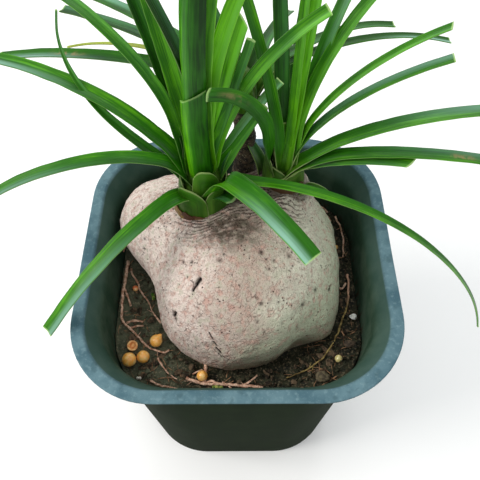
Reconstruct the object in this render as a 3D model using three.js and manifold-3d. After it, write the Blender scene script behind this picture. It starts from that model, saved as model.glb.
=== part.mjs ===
// A ponytail palm in a square nursery pot: the pot, its soil, the swollen woody stem base
// (the caudex), three rosettes of strap leaves that were trimmed short, and the roots,
// feed pellets and grit that lie on the soil.
// Millimetres, +Z up, origin at the centre of the pot's underside. The plant faces -Y.

import * as THREE from 'three';
import { mergeVertices } from 'three/addons/utils/BufferGeometryUtils.js';
import Module from 'manifold-3d';

const wasm = await Module();
wasm.setup();

// Driving dimensions

const CLEAR = 0.3; // gap left between pieces that touch

const POT_HEIGHT = 120;
const RIM_HALF = 60; // half the width across the rim
const RIM_CORNER = 32; // corner radius of the rim in plan
const FLANGE = 4.3; // width of the flat top of the rim
const RIM_THICK = 1.7;
const COLLAR_DROP = 8; // the rim funnels in to the wall over this height
const NECK_HALF = 53; // half width of the wall just below the collar
const NECK_CORNER = 31;
const FOOT_HALF = 45.5; // half width at the underside
const FOOT_CORNER = 29;
const WALL = 1.2;
const FLOOR = 1.8;
const RIM_EDGE = 0.5; // small rounding of the rim's edges
const CORNER_STEPS = 7;
const DRAIN_RADIUS = 4.5;
const DRAIN_OUT = 26; // a drain hole's distance from the middle, along X and along Y

const SOIL_LEVEL = 92;
const SOIL_RINGS = 12;
const SOIL_SIDE_STEPS = 4; // stretches along each straight side of the soil's rings
const SOIL_WALL_GAP = 0.4;

const CAUDEX_HEART = new THREE.Vector3(2, 3, 106); // every part of the skin is in sight of it
const CAUDEX_DETAIL = 10;
const LUMP_BLEND = 3.4; // how softly the lumps run into each other
const SWELLING = 0.5; // height of the bark's low swellings
const NECK_RING = 0.45; // height of the ring wrinkles round the neck
const NECK_FROM = 122; // the wrinkles begin at this height
const NECK_FULL = 130;

const STEM_RADIUS = 4; // slender rear stem, under the third rosette
const STEM_FLARE = 2.2; // it widens by this much at its foot
const STEM_LENGTH = 70;
const STEM_STEPS = 10;
const STEM_SIDES = 14;
const SCAR_RING = 0.35; // height of the leaf scars that ring it

const BLADE_THICK = 0.75;
const BLADE_STEP = 8; // length of one straight stretch of a blade
const BLADE_CHANNEL = 0.22; // depth of the channel along a blade, as a share of its half width
const BASE_RUN = 26; // a blade widens and folds round the crown over this length at its root
const BASE_WIDEN = 0.75; // by this share of its width
const BASE_CHANNEL = 0.6;
const ROLL_RUN = 25; // a blade twists over this length
const SHEATH_LEAN = 60; // a level leaf leaves the crown this steeply, in degrees
const SHEATH_TURN = 8; // and turns to its own angle over this length
const CROWN_SIDES = 14;
const CROWN_ROOT = 6; // a crown reaches this far down in to the wood
const CROWN_FOOT = 0.85; // its radius at the foot, as a share of its full radius
const CROWN_SHOULDER = 0.8; // its radius where it starts to close
const CROWN_TOP = 0.45; // its radius at the top
const SHOULDER_HEIGHT = 0.6; // height of that shoulder, as a share of the crown's height

const ROOT_SIDES = 6;
const ROOT_STEP = 4;
const ROOT_TIP = 0.5; // thickness at a root's end, as a share
const ROOT_BRANCH = 0.7; // thickness of a branch, as a share
const HUSK = { at: [-42, -28], size: 4.2, wall: 0.6 };
const HUSK_STEPS = 4;
const LYING_GAP = 0.4; // what lies on the soil is this far above it

const COLOURS = {
  pot: 0x2f3f3a,
  soil: 0x2a211b,
  bark: 0xc2aa98,
  leaf: 0x3f8420,
  root: 0xb88a6c,
  pellet: 0xd9ad52,
  husk: 0xc79a4e,
  perlite: 0xe9e7e0,
  pebble: 0x8b6f5a,
};

// Shared geometry helpers

const radians = THREE.MathUtils.degToRad;

// A closed mesh from points and triangles, as a solid that can be joined and cut.
function solidOf(points, triangles) {
  return new wasm.Manifold(new wasm.Mesh({
    numProp: 3,
    vertProperties: new Float32Array(points.flat()),
    triVerts: new Uint32Array(triangles.flat()),
  }));
}

// A three.js geometry as such a solid.
function solidOfGeometry(geometry) {
  const bare = geometry.clone();
  bare.deleteAttribute('normal');
  bare.deleteAttribute('uv');
  const merged = mergeVertices(bare, 1e-4);
  return new wasm.Manifold(new wasm.Mesh({
    numProp: 3,
    vertProperties: merged.attributes.position.array,
    triVerts: new Uint32Array(merged.index.array),
  }));
}

// The largest body of a solid: trimming can leave a loose scrap behind.
function mainBody(solid) {
  return solid.decompose().reduce((best, next) => (next.volume() > best.volume() ? next : best));
}

// A named mesh with its own material.
function meshOf(name, solid, colour, roughness, metalness = 0) {
  const { vertProperties, triVerts } = solid.getMesh();
  const geometry = new THREE.BufferGeometry();
  geometry.setAttribute('position', new THREE.BufferAttribute(new Float32Array(vertProperties), 3));
  geometry.setIndex(new THREE.BufferAttribute(new Uint32Array(triVerts), 1));
  const flat = geometry.toNonIndexed();
  flat.computeVertexNormals();
  const material = new THREE.MeshStandardMaterial({ color: colour, roughness, metalness });
  const mesh = new THREE.Mesh(flat, material);
  mesh.name = name;
  return mesh;
}

// Triangles between rings that all have the same number of points, listed anticlockwise
// seen from above while the rings rise.
function sideTriangles(ringCount, ringSize) {
  const triangles = [];
  for (let ring = 0; ring < ringCount - 1; ring++) {
    for (let i = 0; i < ringSize; i++) {
      const a = ring * ringSize + i;
      const b = ring * ringSize + ((i + 1) % ringSize);
      triangles.push([a, b, b + ringSize], [a, b + ringSize, a + ringSize]);
    }
  }
  return triangles;
}

// Triangles that close a ring round a middle point.
function fanTriangles(firstOfRing, ringSize, middle, facesUp) {
  const triangles = [];
  for (let i = 0; i < ringSize; i++) {
    const a = firstOfRing + i;
    const b = firstOfRing + ((i + 1) % ringSize);
    triangles.push(facesUp ? [a, b, middle] : [b, a, middle]);
  }
  return triangles;
}

// Pot: one thin moulded wall with a funnel collar and a flat flange, round-cornered in plan

// A ring round a square with round corners, whose straight sides have sideSteps stretches.
function squareRing(half, corner, z, sideSteps = 1) {
  const points = [];
  const side = 2 * (half - corner);
  for (let quarter = 0; quarter < 4; quarter++) {
    const middle = radians(quarter * 90 + 45);
    const cx = Math.sign(Math.cos(middle)) * (side / 2);
    const cy = Math.sign(Math.sin(middle)) * (side / 2);
    for (let step = 0; step <= CORNER_STEPS; step++) {
      const angle = radians(quarter * 90 + (90 * step) / CORNER_STEPS);
      points.push([cx + corner * Math.cos(angle), cy + corner * Math.sin(angle), z]);
    }
    const [endX, endY] = points[points.length - 1];
    const heading = radians(quarter * 90 + 180);
    for (let step = 1; step < sideSteps; step++) {
      const along = (side * step) / sideSteps;
      points.push([endX + along * Math.cos(heading), endY + along * Math.sin(heading), z]);
    }
  }
  return points;
}

// Half width and corner radius inside the wall at a height.
function insideWall(z) {
  const share = z / (POT_HEIGHT - COLLAR_DROP);
  return {
    half: THREE.MathUtils.lerp(FOOT_HALF, NECK_HALF, share) - WALL,
    corner: THREE.MathUtils.lerp(FOOT_CORNER, NECK_CORNER, share) - WALL,
  };
}

function makePot() {
  const collarZ = POT_HEIGHT - COLLAR_DROP;
  const flangeInner = RIM_HALF - FLANGE;
  const flangeCorner = RIM_CORNER - FLANGE;
  const top = insideWall(collarZ);
  const bottom = insideWall(FLOOR);
  const stations = [
    [FOOT_HALF - 1, FOOT_CORNER - 1, 0],
    [FOOT_HALF, FOOT_CORNER, 1],
    [NECK_HALF, NECK_CORNER, collarZ],
    [flangeInner + 1, flangeCorner + 1, POT_HEIGHT - RIM_THICK],
    [RIM_HALF - RIM_EDGE, RIM_CORNER - RIM_EDGE, POT_HEIGHT - RIM_THICK],
    [RIM_HALF, RIM_CORNER, POT_HEIGHT - RIM_THICK + RIM_EDGE],
    [RIM_HALF, RIM_CORNER, POT_HEIGHT - RIM_EDGE],
    [RIM_HALF - RIM_EDGE, RIM_CORNER - RIM_EDGE, POT_HEIGHT],
    [flangeInner + RIM_EDGE, flangeCorner + RIM_EDGE, POT_HEIGHT],
    [flangeInner, flangeCorner, POT_HEIGHT - RIM_EDGE],
    [top.half, top.corner, collarZ],
    [bottom.half, bottom.corner, FLOOR],
  ];
  const rings = stations.map(([half, corner, z]) => squareRing(half, corner, z));
  const size = rings[0].length;
  const points = rings.flat();
  const triangles = sideTriangles(rings.length, size);
  points.push([0, 0, 0], [0, 0, FLOOR]);
  triangles.push(...fanTriangles(0, size, points.length - 2, false));
  triangles.push(...fanTriangles((rings.length - 1) * size, size, points.length - 1, true));
  let pot = solidOf(points, triangles);
  for (const sx of [-1, 1]) {
    for (const sy of [-1, 1]) {
      const hole = new THREE.CylinderGeometry(DRAIN_RADIUS, DRAIN_RADIUS, FLOOR * 4, 16);
      hole.rotateX(Math.PI / 2);
      hole.translate(sx * DRAIN_OUT, sy * DRAIN_OUT, 0);
      pot = pot.subtract(solidOfGeometry(hole));
    }
  }
  return pot;
}

// Soil: fills the pot to SOIL_LEVEL, with a crumbled surface raised by a formula

// Height of the soil's surface: a slow swell, with crumbs a few millimetres across on it.
function soilHeight(x, y) {
  const swell = 0.9 * Math.sin(x * 0.09 + 0.7) * Math.cos(y * 0.075 - 0.4);
  const crumbs = 0.45 * Math.sin(x * 0.43 + 1.3 * Math.sin(y * 0.31)) * Math.sin(y * 0.39 + 0.8);
  return SOIL_LEVEL + swell + crumbs;
}

function makeSoil(caudexSocket) {
  const bottomZ = FLOOR + CLEAR;
  const bottom = insideWall(bottomZ);
  const top = insideWall(SOIL_LEVEL);
  const edge = squareRing(top.half - SOIL_WALL_GAP, top.corner, SOIL_LEVEL, SOIL_SIDE_STEPS);
  const rings = [squareRing(bottom.half - SOIL_WALL_GAP, bottom.corner, bottomZ, SOIL_SIDE_STEPS)];
  for (let ring = 0; ring < SOIL_RINGS; ring++) {
    const scale = 1 - ring / SOIL_RINGS;
    rings.push(edge.map(([x, y]) => [x * scale, y * scale, soilHeight(x * scale, y * scale)]));
  }
  const size = rings[0].length;
  const points = rings.flat();
  const triangles = sideTriangles(rings.length, size);
  points.push([0, 0, bottomZ], [0, 0, soilHeight(0, 0)]);
  triangles.push(...fanTriangles(0, size, points.length - 2, false));
  triangles.push(...fanTriangles((rings.length - 1) * size, size, points.length - 1, true));
  return mainBody(solidOf(points, triangles).subtract(caudexSocket));
}

// Caudex: the swollen stem base, one woody body of lumps that run into each other

// Each lump is an ellipsoid: its middle and its three radii.
const LUMPS = [
  { at: [1, -2, 104], radii: [33, 37, 35] }, // main bulb
  { at: [-9, -14, 99], radii: [20, 20, 18] }, // fuller lower left
  { at: [22, 1, 103], radii: [18.5, 23, 20] }, // right flank
  { at: [25, -14, 98], radii: [14, 13, 14] }, // knob low on the right
  { at: [-28, 22, 110], radii: [21, 22, 19] }, // left rear shoulder
  { at: [-18, 13, 110], radii: [20, 20, 19] }, // slope from that shoulder up to the neck
  { at: [16, 19, 103], radii: [24, 22, 19] }, // right rear shoulder
  { at: [2, 17, 116], radii: [27, 19, 17] }, // neck that carries the rosettes
  { at: [-12, 15, 123], radii: [12, 12, 9] }, // seat of the left rosette
  { at: [18, 25, 126], radii: [11, 11, 10] }, // seat of the right rosette
];

// Distance from a point to the caudex's skin, below zero inside it.
function caudexDistance(x, y, z) {
  let sum = 0;
  for (const { at, radii } of LUMPS) {
    const dx = x - at[0];
    const dy = y - at[1];
    const dz = z - at[2];
    const nearness = Math.hypot(dx / radii[0], dy / radii[1], dz / radii[2]);
    const slope = Math.hypot(dx / radii[0] ** 2, dy / radii[1] ** 2, dz / radii[2] ** 2);
    sum += Math.exp((-(nearness * (nearness - 1)) / slope) / LUMP_BLEND);
  }
  return -LUMP_BLEND * Math.log(sum);
}

// Low swellings of the bark, and the rings that fallen leaves left round the neck.
function barkRelief(x, y, z) {
  const waves = Math.sin(x * 0.21 + 1.1) * Math.sin(y * 0.19 + z * 0.12) * Math.sin(z * 0.17 + 0.6);
  const neck = THREE.MathUtils.smoothstep(z, NECK_FROM, NECK_FULL);
  return SWELLING * waves + NECK_RING * neck * Math.sin(z * 1.5 + 0.08 * x);
}

// The skin is found along rays from the heart; a margin above zero grows the whole body.
function makeCaudexBody(margin) {
  const sphere = new THREE.IcosahedronGeometry(1, CAUDEX_DETAIL);
  const position = sphere.attributes.position;
  const ray = new THREE.Vector3();
  const spot = new THREE.Vector3();
  for (let i = 0; i < position.count; i++) {
    ray.fromBufferAttribute(position, i).normalize();
    let inside = 4;
    let outside = 90;
    for (let step = 0; step < 26; step++) {
      const reach = (inside + outside) / 2;
      spot.copy(CAUDEX_HEART).addScaledVector(ray, reach);
      const gap = caudexDistance(spot.x, spot.y, spot.z) - barkRelief(spot.x, spot.y, spot.z);
      if (gap < margin) inside = reach;
      else outside = reach;
    }
    spot.copy(CAUDEX_HEART).addScaledVector(ray, inside);
    position.setXYZ(i, spot.x, spot.y, spot.z);
  }
  return solidOfGeometry(sphere);
}

// The rear stem, a slender trunk ringed by old leaf scars.
function makeRearStem(margin) {
  const foot = REAR_HEAD.z - STEM_LENGTH;
  const profile = [new THREE.Vector2(0, foot)];
  for (let step = 0; step <= STEM_STEPS; step++) {
    const share = step / STEM_STEPS;
    const scar = SCAR_RING * Math.cos(step * Math.PI);
    const radius = STEM_RADIUS + STEM_FLARE * (1 - share) ** 2 + scar + margin;
    profile.push(new THREE.Vector2(radius, foot + STEM_LENGTH * share));
  }
  profile.push(new THREE.Vector2(0, REAR_HEAD.z + margin));
  const stem = new THREE.LatheGeometry(profile, STEM_SIDES);
  stem.rotateX(Math.PI / 2);
  stem.translate(REAR_HEAD.x, REAR_HEAD.y, 0);
  return solidOfGeometry(stem);
}

function makeCaudex(margin) {
  return makeCaudexBody(margin).add(makeRearStem(margin));
}

// Leaves: long straps, channelled along the middle, cut off short

// The three rosettes: where each crown sits on the wood.
const LEFT_HEAD = { x: -12, y: 15, z: 135, radius: 10.4, height: 14 };
const RIGHT_HEAD = { x: 18, y: 25, z: 137, radius: 8, height: 13 };
const REAR_HEAD = { x: 3, y: 34, z: 168, radius: 4.4, height: 11 };

// A leaf's values. turn: compass direction, 0 to +X and 90 to +Y. sheath: length of the upright
// part that wraps the crown. lift: angle above level after it. droop: how far it bends down by
// its end. bend: below 1 the bend comes early, above 1 late. sweep: how far it turns aside by
// its end. roll: how far the blade twists. tip: width at the end, as a share of the width.
const LEAF = { sheath: 8, lift: 60, droop: 30, bend: 1, sweep: 0, roll: 0, width: 5, tip: 0.8, root: 3.5 };

const LEFT_LEAVES = [
  { turn: 190, sheath: 9, lift: 52, droop: 92, bend: 0.5, length: 104, width: 6.2 },
  { turn: 222, sheath: 2, lift: 27, droop: 66, bend: 0.35, length: 81, width: 6.8, root: 5 },
  { turn: 160, sheath: 9, lift: 54, droop: 65, bend: 0.7, length: 106, width: 7 },
  { turn: 168, sheath: 4, lift: 41, droop: 4, length: 86, width: 4.8, tip: 0.16, sweep: -96 },
  { turn: 150, sheath: 34, lift: 60, droop: 48, bend: 0.8, length: 94, width: 5.2 },
  { turn: 128, sheath: 16, lift: 64, droop: 8, length: 98, width: 6.4 },
  { turn: 122, sheath: 18, lift: 68, droop: 10, length: 98, width: 6.6 },
  { turn: 148, sheath: 8, lift: 93, droop: 40, length: 86, width: 5.4, root: -0.2 },
  { turn: 240, sheath: 0, lift: 83, droop: -22, length: 98, width: 9, root: 0.8, tip: 0.95 },
  { turn: 240, sheath: 0, lift: 84, droop: -12, length: 51, width: 9.8, root: 3.2, tip: 1 },
  { turn: 43, sheath: 10, lift: 92, droop: 18, length: 90, width: 7, root: 2.8, roll: 30 },
  { turn: 31, sheath: 10, lift: 91, droop: 33, length: 84, width: 6, root: 2.6, roll: 45 },
  { turn: 37, sheath: 10, lift: 80, droop: 16, length: 71, width: 5.2, root: 1.3, roll: 45 },
  { turn: 22, sheath: 10, lift: 71, droop: 0, length: 68, width: 3.6, root: -0.7, roll: 50 },
  { turn: 18, sheath: 10, lift: 77, droop: 47, length: 86, width: 4.8, sweep: -14, root: 1.5, roll: 50 },
  { turn: 20, sheath: 6, lift: 57, droop: 4, length: 44, width: 4.4, tip: 0.6, roll: 40 },
  { turn: 33, sheath: 6, lift: 56, droop: 28, length: 52, width: 5 },
  { turn: -48, sheath: 14, lift: 28, droop: 52, bend: 0.5, length: 66, width: 9.2 },
  { turn: -13, sheath: 7, lift: 13, droop: 88, bend: 0.85, length: 158, width: 4.4, tip: 0.4 },
  { turn: -50, sheath: 6, lift: 30, droop: 30, length: 20, width: 6, tip: 0.8, root: 5 },
];

const RIGHT_LEAVES = [
  { turn: 210, sheath: 23, lift: 65, droop: 54, bend: 1.2, length: 63, width: 5.8, roll: -80 },
  { turn: 166, sheath: 12, lift: 80, droop: 8, length: 75, width: 4.4, root: 0.5, roll: -75 },
  { turn: 100, sheath: 16, lift: 75, droop: 12, length: 88, width: 5.8, root: 5 },
  { turn: 65, sheath: 10, lift: 86, droop: -3, length: 88, width: 3.6 },
  { turn: 60, sheath: 10, lift: 80, droop: 2, length: 90, width: 5 },
  { turn: 48, sheath: 10, lift: 74, droop: 30, length: 86, width: 5.4 },
  { turn: 36, sheath: 14, lift: 76, droop: 50, length: 77, width: 5.6 },
  { turn: 8, sheath: 14, lift: 66, droop: 50, bend: 0.8, length: 81, width: 4 },
  { turn: -3, sheath: 8, lift: 66, droop: 45, bend: 0.7, length: 76, width: 5 },
  { turn: -3, sheath: 1, lift: 42, droop: 44, bend: 0.8, length: 95, width: 6.6 },
  { turn: -12, sheath: 0, lift: 36, droop: 42, bend: 0.5, length: 94, width: 6 },
  { turn: -16, sheath: 0, lift: 28, droop: 25, length: 49, width: 6.4 },
  { turn: -32, sheath: 0, lift: -2, droop: -12, length: 25, width: 4.4, tip: 0.6, root: 8, seat: -8 },
  { turn: 152, sheath: 0, lift: 62, droop: 0, length: 38, width: 4.4, root: 9, seat: -6 },
  { turn: 80, sheath: 6, lift: 52, droop: 40, length: 78, width: 4.8 },
];

const REAR_LEAVES = [
  { turn: 168, sheath: 2, lift: 9, droop: 26, length: 94, width: 6.2 },
  { turn: 170, sheath: 2, lift: 27, droop: 50, length: 66, width: 2.6, tip: 0.3 },
  { turn: 156, sheath: 2, lift: 17, droop: 22, length: 74, width: 5.4 },
  { turn: 147, sheath: 3, lift: 16, droop: 22, length: 78, width: 6 },
  { turn: 36, sheath: 3, lift: 8, droop: 20, length: 66, width: 4.4, sweep: -35 },
  { turn: 33, sheath: 3, lift: -2, droop: 16, length: 94, width: 4.4, sweep: -32 },
  { turn: 128, sheath: 3, lift: 54, droop: 20, length: 54, width: 4.6 },
  { turn: 112, sheath: 3, lift: 20, droop: 40, length: 68, width: 4.8 },
  { turn: 66, sheath: 3, lift: 12, droop: 36, length: 46, width: 4.6 },
];

// The blade's middle line and its frame, in steps from the root to the cut.
function bladeStations(head, leaf) {
  const steps = Math.max(5, Math.round(leaf.length / BLADE_STEP));
  const pace = leaf.length / steps;
  const free = leaf.length - leaf.sheath - SHEATH_TURN;
  const upright = Math.max(SHEATH_LEAN + 0.3 * leaf.lift, leaf.lift);
  const spot = new THREE.Vector3(
    head.x + leaf.root * Math.cos(radians(leaf.turn)),
    head.y + leaf.root * Math.sin(radians(leaf.turn)),
    head.z + (leaf.seat ?? 4 * (leaf.lift / 90) - 3),
  );
  const stations = [];
  for (let step = 0; step <= steps; step++) {
    const run = step * pace;
    const share = Math.max(0, run - leaf.sheath - SHEATH_TURN) / free;
    const turned = THREE.MathUtils.smoothstep(run, leaf.sheath, leaf.sheath + SHEATH_TURN);
    const rise = radians(upright + (leaf.lift - upright) * turned - leaf.droop * share ** leaf.bend);
    const turn = radians(leaf.turn + leaf.sweep * share ** 2);
    const along = new THREE.Vector3(
      Math.cos(rise) * Math.cos(turn),
      Math.cos(rise) * Math.sin(turn),
      Math.sin(rise),
    );
    const across = new THREE.Vector3(Math.sin(turn), -Math.cos(turn), 0);
    const twist = radians(leaf.roll * THREE.MathUtils.smoothstep(run, 0, ROLL_RUN));
    across.applyAxisAngle(along, twist);
    const face = new THREE.Vector3().crossVectors(across, along);
    stations.push({ spot: spot.clone(), across, face, run });
    spot.addScaledVector(along, pace);
  }
  return stations;
}

function makeLeaf(head, leaf) {
  const stations = bladeStations(head, leaf);
  const points = [];
  for (const { spot, across, face, run } of stations) {
    const base = 1 - THREE.MathUtils.smoothstep(run, 0, BASE_RUN);
    const thinning = THREE.MathUtils.smoothstep(run / leaf.length, 0.25, 1);
    const taper = THREE.MathUtils.lerp(1, leaf.tip, thinning);
    const half = (leaf.width / 2) * (1 + BASE_WIDEN * base) * taper;
    const edge = half * THREE.MathUtils.lerp(BLADE_CHANNEL, BASE_CHANNEL, base);
    const low = -BLADE_THICK / 2;
    const high = BLADE_THICK / 2;
    const upper = [[-half, edge + high], [0, high], [half, edge + high]];
    const lower = [[half, edge + low], [0, low], [-half, edge + low]];
    for (const [side, up] of [...upper, ...lower]) {
      points.push(spot.clone().addScaledVector(across, side).addScaledVector(face, up).toArray());
    }
  }
  const triangles = [];
  const last = (stations.length - 1) * 6;
  for (let first = 0; first < last; first += 6) {
    for (let side = 0; side < 6; side++) {
      const a = first + side;
      const b = first + ((side + 1) % 6);
      // The upper and the lower face are split the same way, so a thin blade never crosses itself.
      if (side < 3) triangles.push([a, b, b + 6], [a, b + 6, a + 6]);
      else triangles.push([a, b, a + 6], [b, b + 6, a + 6]);
    }
  }
  triangles.push([0, 4, 1], [0, 5, 4], [1, 4, 3], [1, 3, 2]);
  triangles.push([last, last + 1, last + 4], [last, last + 4, last + 5]);
  triangles.push([last + 1, last + 3, last + 4], [last + 1, last + 2, last + 3]);
  return solidOf(points, triangles);
}

// A rosette: a short crown with every leaf's root sunk in it, trimmed to sit on the wood.
function makeRosette(head, leaves, caudexSocket) {
  const crown = new THREE.LatheGeometry([
    new THREE.Vector2(0, head.z - CROWN_ROOT),
    new THREE.Vector2(head.radius * CROWN_FOOT, head.z - CROWN_ROOT + 1),
    new THREE.Vector2(head.radius, head.z),
    new THREE.Vector2(head.radius * CROWN_SHOULDER, head.z + head.height * SHOULDER_HEIGHT),
    new THREE.Vector2(head.radius * CROWN_TOP, head.z + head.height),
    new THREE.Vector2(0, head.z + head.height),
  ], CROWN_SIDES);
  crown.rotateX(Math.PI / 2);
  crown.translate(head.x, head.y, 0);
  let rosette = solidOfGeometry(crown);
  for (const leaf of leaves) rosette = rosette.add(makeLeaf(head, { ...LEAF, ...leaf }));
  return mainBody(rosette.subtract(caudexSocket));
}

// Roots, feed pellets and grit that lie on the soil

// Each root: its routes over the soil, the first one the longest, and its thickness.
const ROOTS = {
  root_left: {
    thick: 1.5,
    routes: [
      [[-48, 12], [-48.4, 3], [-48.6, -7], [-47.6, -16], [-44, -20], [-39.5, -24.6], [-35.6, -28.6],
        [-31.6, -30]],
      [[-44, -20], [-41, -18.6], [-38.6, -18.8]],
    ],
  },
  root_inner: { thick: 0.9, routes: [[[-43.5, 2.5], [-41, -3], [-37.6, -7.6], [-35.4, -12.5]]] },
  root_thin: { thick: 0.8, routes: [[[-31.6, -32.8], [-29, -37], [-26, -40.2], [-23.4, -41.6]]] },
  root_front: {
    thick: 1.3,
    routes: [
      [[-20, -41.6], [-14, -44], [-6, -44.8], [1, -45.6], [9.6, -46.6]],
      [[1, -45.6], [4.4, -43.4], [7.6, -40.6]],
    ],
  },
  root_front_low: { thick: 1, routes: [[[-34, -42.4], [-29.5, -44.2], [-24, -45.6], [-18.6, -46.8]]] },
  root_right: {
    thick: 1,
    routes: [
      [[47.6, 5.5], [47, -3], [45.6, -10], [42.4, -17.5], [39.4, -24.5], [33.6, -33], [25, -38.8],
        [18, -41]],
    ],
  },
  root_rear: { thick: 0.9, routes: [[[45, 36], [46.8, 30], [47.4, 23], [46.6, 15]]] },
};

const PELLET = 5; // width of a sound feed pellet

// What lies loose: its middle in plan, its size, and its length, width and height as shares
// of that size.
const LOOSE = [
  { name: 'pellet_1', kind: 'pellet', at: [-42.6, -34.2], size: PELLET + 0.6 },
  { name: 'pellet_2', kind: 'pellet', at: [-37.2, -33], size: PELLET },
  { name: 'pellet_3', kind: 'pellet', at: [-32.6, -26.4], size: PELLET },
  { name: 'pellet_4', kind: 'pellet', at: [-13.8, -40.8], size: 4.2 },
  { name: 'pellet_5', kind: 'pellet', at: [-43.6, -1.4], size: 2.6 },
  { name: 'pellet_6', kind: 'pellet', at: [43.8, 19.5], size: 2 },
  { name: 'pellet_7', kind: 'pellet', at: [39.4, -34], size: 3 },
  { name: 'perlite_1', kind: 'perlite', at: [47.4, -15.4], size: 2.6, shape: [1.2, 0.9, 0.9] },
  { name: 'perlite_2', kind: 'perlite', at: [-38.4, -41], size: 1.8, shape: [1.3, 0.7, 0.8] },
  { name: 'pebble_1', kind: 'pebble', at: [32.6, -41.2], size: 5, shape: [1.1, 0.9, 0.6] },
  { name: 'pebble_2', kind: 'pebble', at: [44.6, -27.6], size: 4, shape: [1.3, 0.8, 0.5] },
];

// A root: a tapered tube along smooth routes over the soil, with its branches joined on.
function makeRoot({ thick, routes }) {
  const tubes = routes.map((route, index) => {
    const line = new THREE.CatmullRomCurve3(route.map(([x, y]) => new THREE.Vector3(x, y, 0)));
    const steps = Math.ceil(line.getLength() / ROOT_STEP);
    const points = [];
    for (let step = 0; step <= steps; step++) {
      const share = step / steps;
      const { x, y } = line.getPointAt(share);
      const along = line.getTangentAt(share);
      const radius = (thick / 2) * THREE.MathUtils.lerp(1, ROOT_TIP, share) * (index ? ROOT_BRANCH : 1);
      const z = soilHeight(x, y) + thick / 2 + LYING_GAP;
      for (let side = 0; side < ROOT_SIDES; side++) {
        const angle = radians((360 * side) / ROOT_SIDES);
        const out = radius * Math.cos(angle);
        points.push([x - along.y * out, y + along.x * out, z + radius * Math.sin(angle)]);
      }
    }
    const lastRing = steps * ROOT_SIDES;
    const ends = [line.getPointAt(0), line.getPointAt(1)];
    for (const { x, y } of ends) points.push([x, y, soilHeight(x, y) + thick / 2 + LYING_GAP]);
    return solidOf(points, [
      ...sideTriangles(steps + 1, ROOT_SIDES),
      ...fanTriangles(0, ROOT_SIDES, points.length - 2, false),
      ...fanTriangles(lastRing, ROOT_SIDES, points.length - 1, true),
    ]);
  });
  return mainBody(tubes.reduce((whole, tube) => whole.add(tube)));
}

// A loose grain: a ball, or a lopsided one for a stone.
function makeGrain({ at: [x, y], size, shape = [1, 1, 1] }) {
  const ball = new THREE.IcosahedronGeometry(size / 2, 1);
  ball.scale(...shape);
  ball.translate(x, y, soilHeight(x, y) + (size / 2) * shape[2] + LYING_GAP);
  return solidOfGeometry(ball);
}

// The husk of a spent pellet: half a hollow ball, mouth up.
function makeHusk() {
  const { at: [x, y], size, wall } = HUSK;
  const outer = size / 2;
  const profile = [];
  for (let step = 0; step <= HUSK_STEPS; step++) {
    const angle = radians(-90 + (90 * step) / HUSK_STEPS);
    profile.push(new THREE.Vector2(outer * Math.cos(angle), outer * Math.sin(angle)));
  }
  for (let step = HUSK_STEPS; step >= 0; step--) {
    const angle = radians(-90 + (90 * step) / HUSK_STEPS);
    profile.push(new THREE.Vector2((outer - wall) * Math.cos(angle), (outer - wall) * Math.sin(angle)));
  }
  profile[0].x = 0;
  profile[profile.length - 1].x = 0;
  const husk = new THREE.LatheGeometry(profile, 12);
  husk.rotateX(Math.PI / 2);
  husk.translate(x, y, soilHeight(x, y) + outer + LYING_GAP);
  return solidOfGeometry(husk);
}

// The whole plant in its pot

const caudexSocket = makeCaudex(CLEAR);

const group = new THREE.Group();
group.add(meshOf('pot', makePot(), COLOURS.pot, 0.45));
group.add(meshOf('soil', makeSoil(caudexSocket), COLOURS.soil, 0.95));
group.add(meshOf('caudex', makeCaudex(0), COLOURS.bark, 0.85));
for (const [name, head, leaves] of [
  ['rosette_left', LEFT_HEAD, LEFT_LEAVES],
  ['rosette_right', RIGHT_HEAD, RIGHT_LEAVES],
  ['rosette_rear', REAR_HEAD, REAR_LEAVES],
]) {
  group.add(meshOf(name, makeRosette(head, leaves, caudexSocket), COLOURS.leaf, 0.4));
}
for (const [name, root] of Object.entries(ROOTS)) {
  group.add(meshOf(name, makeRoot(root), COLOURS.root, 0.8));
}
for (const grain of LOOSE) {
  group.add(meshOf(grain.name, makeGrain(grain), COLOURS[grain.kind], 0.5));
}
group.add(meshOf('pellet_husk', makeHusk(), COLOURS.husk, 0.6));

export default group;
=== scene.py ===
"""The looks of a ponytail palm in a square nursery pot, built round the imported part.

Every piece is modelled in millimetres, +Z up, in the part's own frame, and is scaled to
metres when its mesh is done. The plant faces -Y.
"""

import math
import random
from dataclasses import dataclass

import bmesh
import bpy
import numpy as np
from mathutils import Matrix, Vector, noise


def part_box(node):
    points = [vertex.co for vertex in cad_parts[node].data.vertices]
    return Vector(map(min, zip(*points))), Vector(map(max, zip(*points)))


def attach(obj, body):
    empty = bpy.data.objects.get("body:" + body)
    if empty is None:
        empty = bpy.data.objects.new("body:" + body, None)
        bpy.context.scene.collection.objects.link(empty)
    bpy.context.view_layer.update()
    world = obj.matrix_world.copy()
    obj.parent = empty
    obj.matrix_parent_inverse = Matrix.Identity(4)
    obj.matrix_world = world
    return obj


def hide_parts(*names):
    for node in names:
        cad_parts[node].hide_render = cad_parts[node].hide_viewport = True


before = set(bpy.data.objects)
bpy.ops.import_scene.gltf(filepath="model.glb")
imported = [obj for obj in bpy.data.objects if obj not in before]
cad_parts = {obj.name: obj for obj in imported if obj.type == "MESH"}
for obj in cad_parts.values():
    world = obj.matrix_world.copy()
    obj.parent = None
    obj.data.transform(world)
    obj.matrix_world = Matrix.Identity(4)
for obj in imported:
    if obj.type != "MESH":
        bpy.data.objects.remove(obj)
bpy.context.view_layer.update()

# The pot: a 12 cm nursery pot of thin dark green plastic, moulded in one piece with a funnel
# collar, a flat flange and four drain holes. Daylight has bleached the flange to a dusty
# blue-grey, and soil is smeared on the wall inside. The blue-grey of the flange and collar
# is also a painted sheen of the sky, and the back and the outside of the wall hold painted
# shade.

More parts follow.
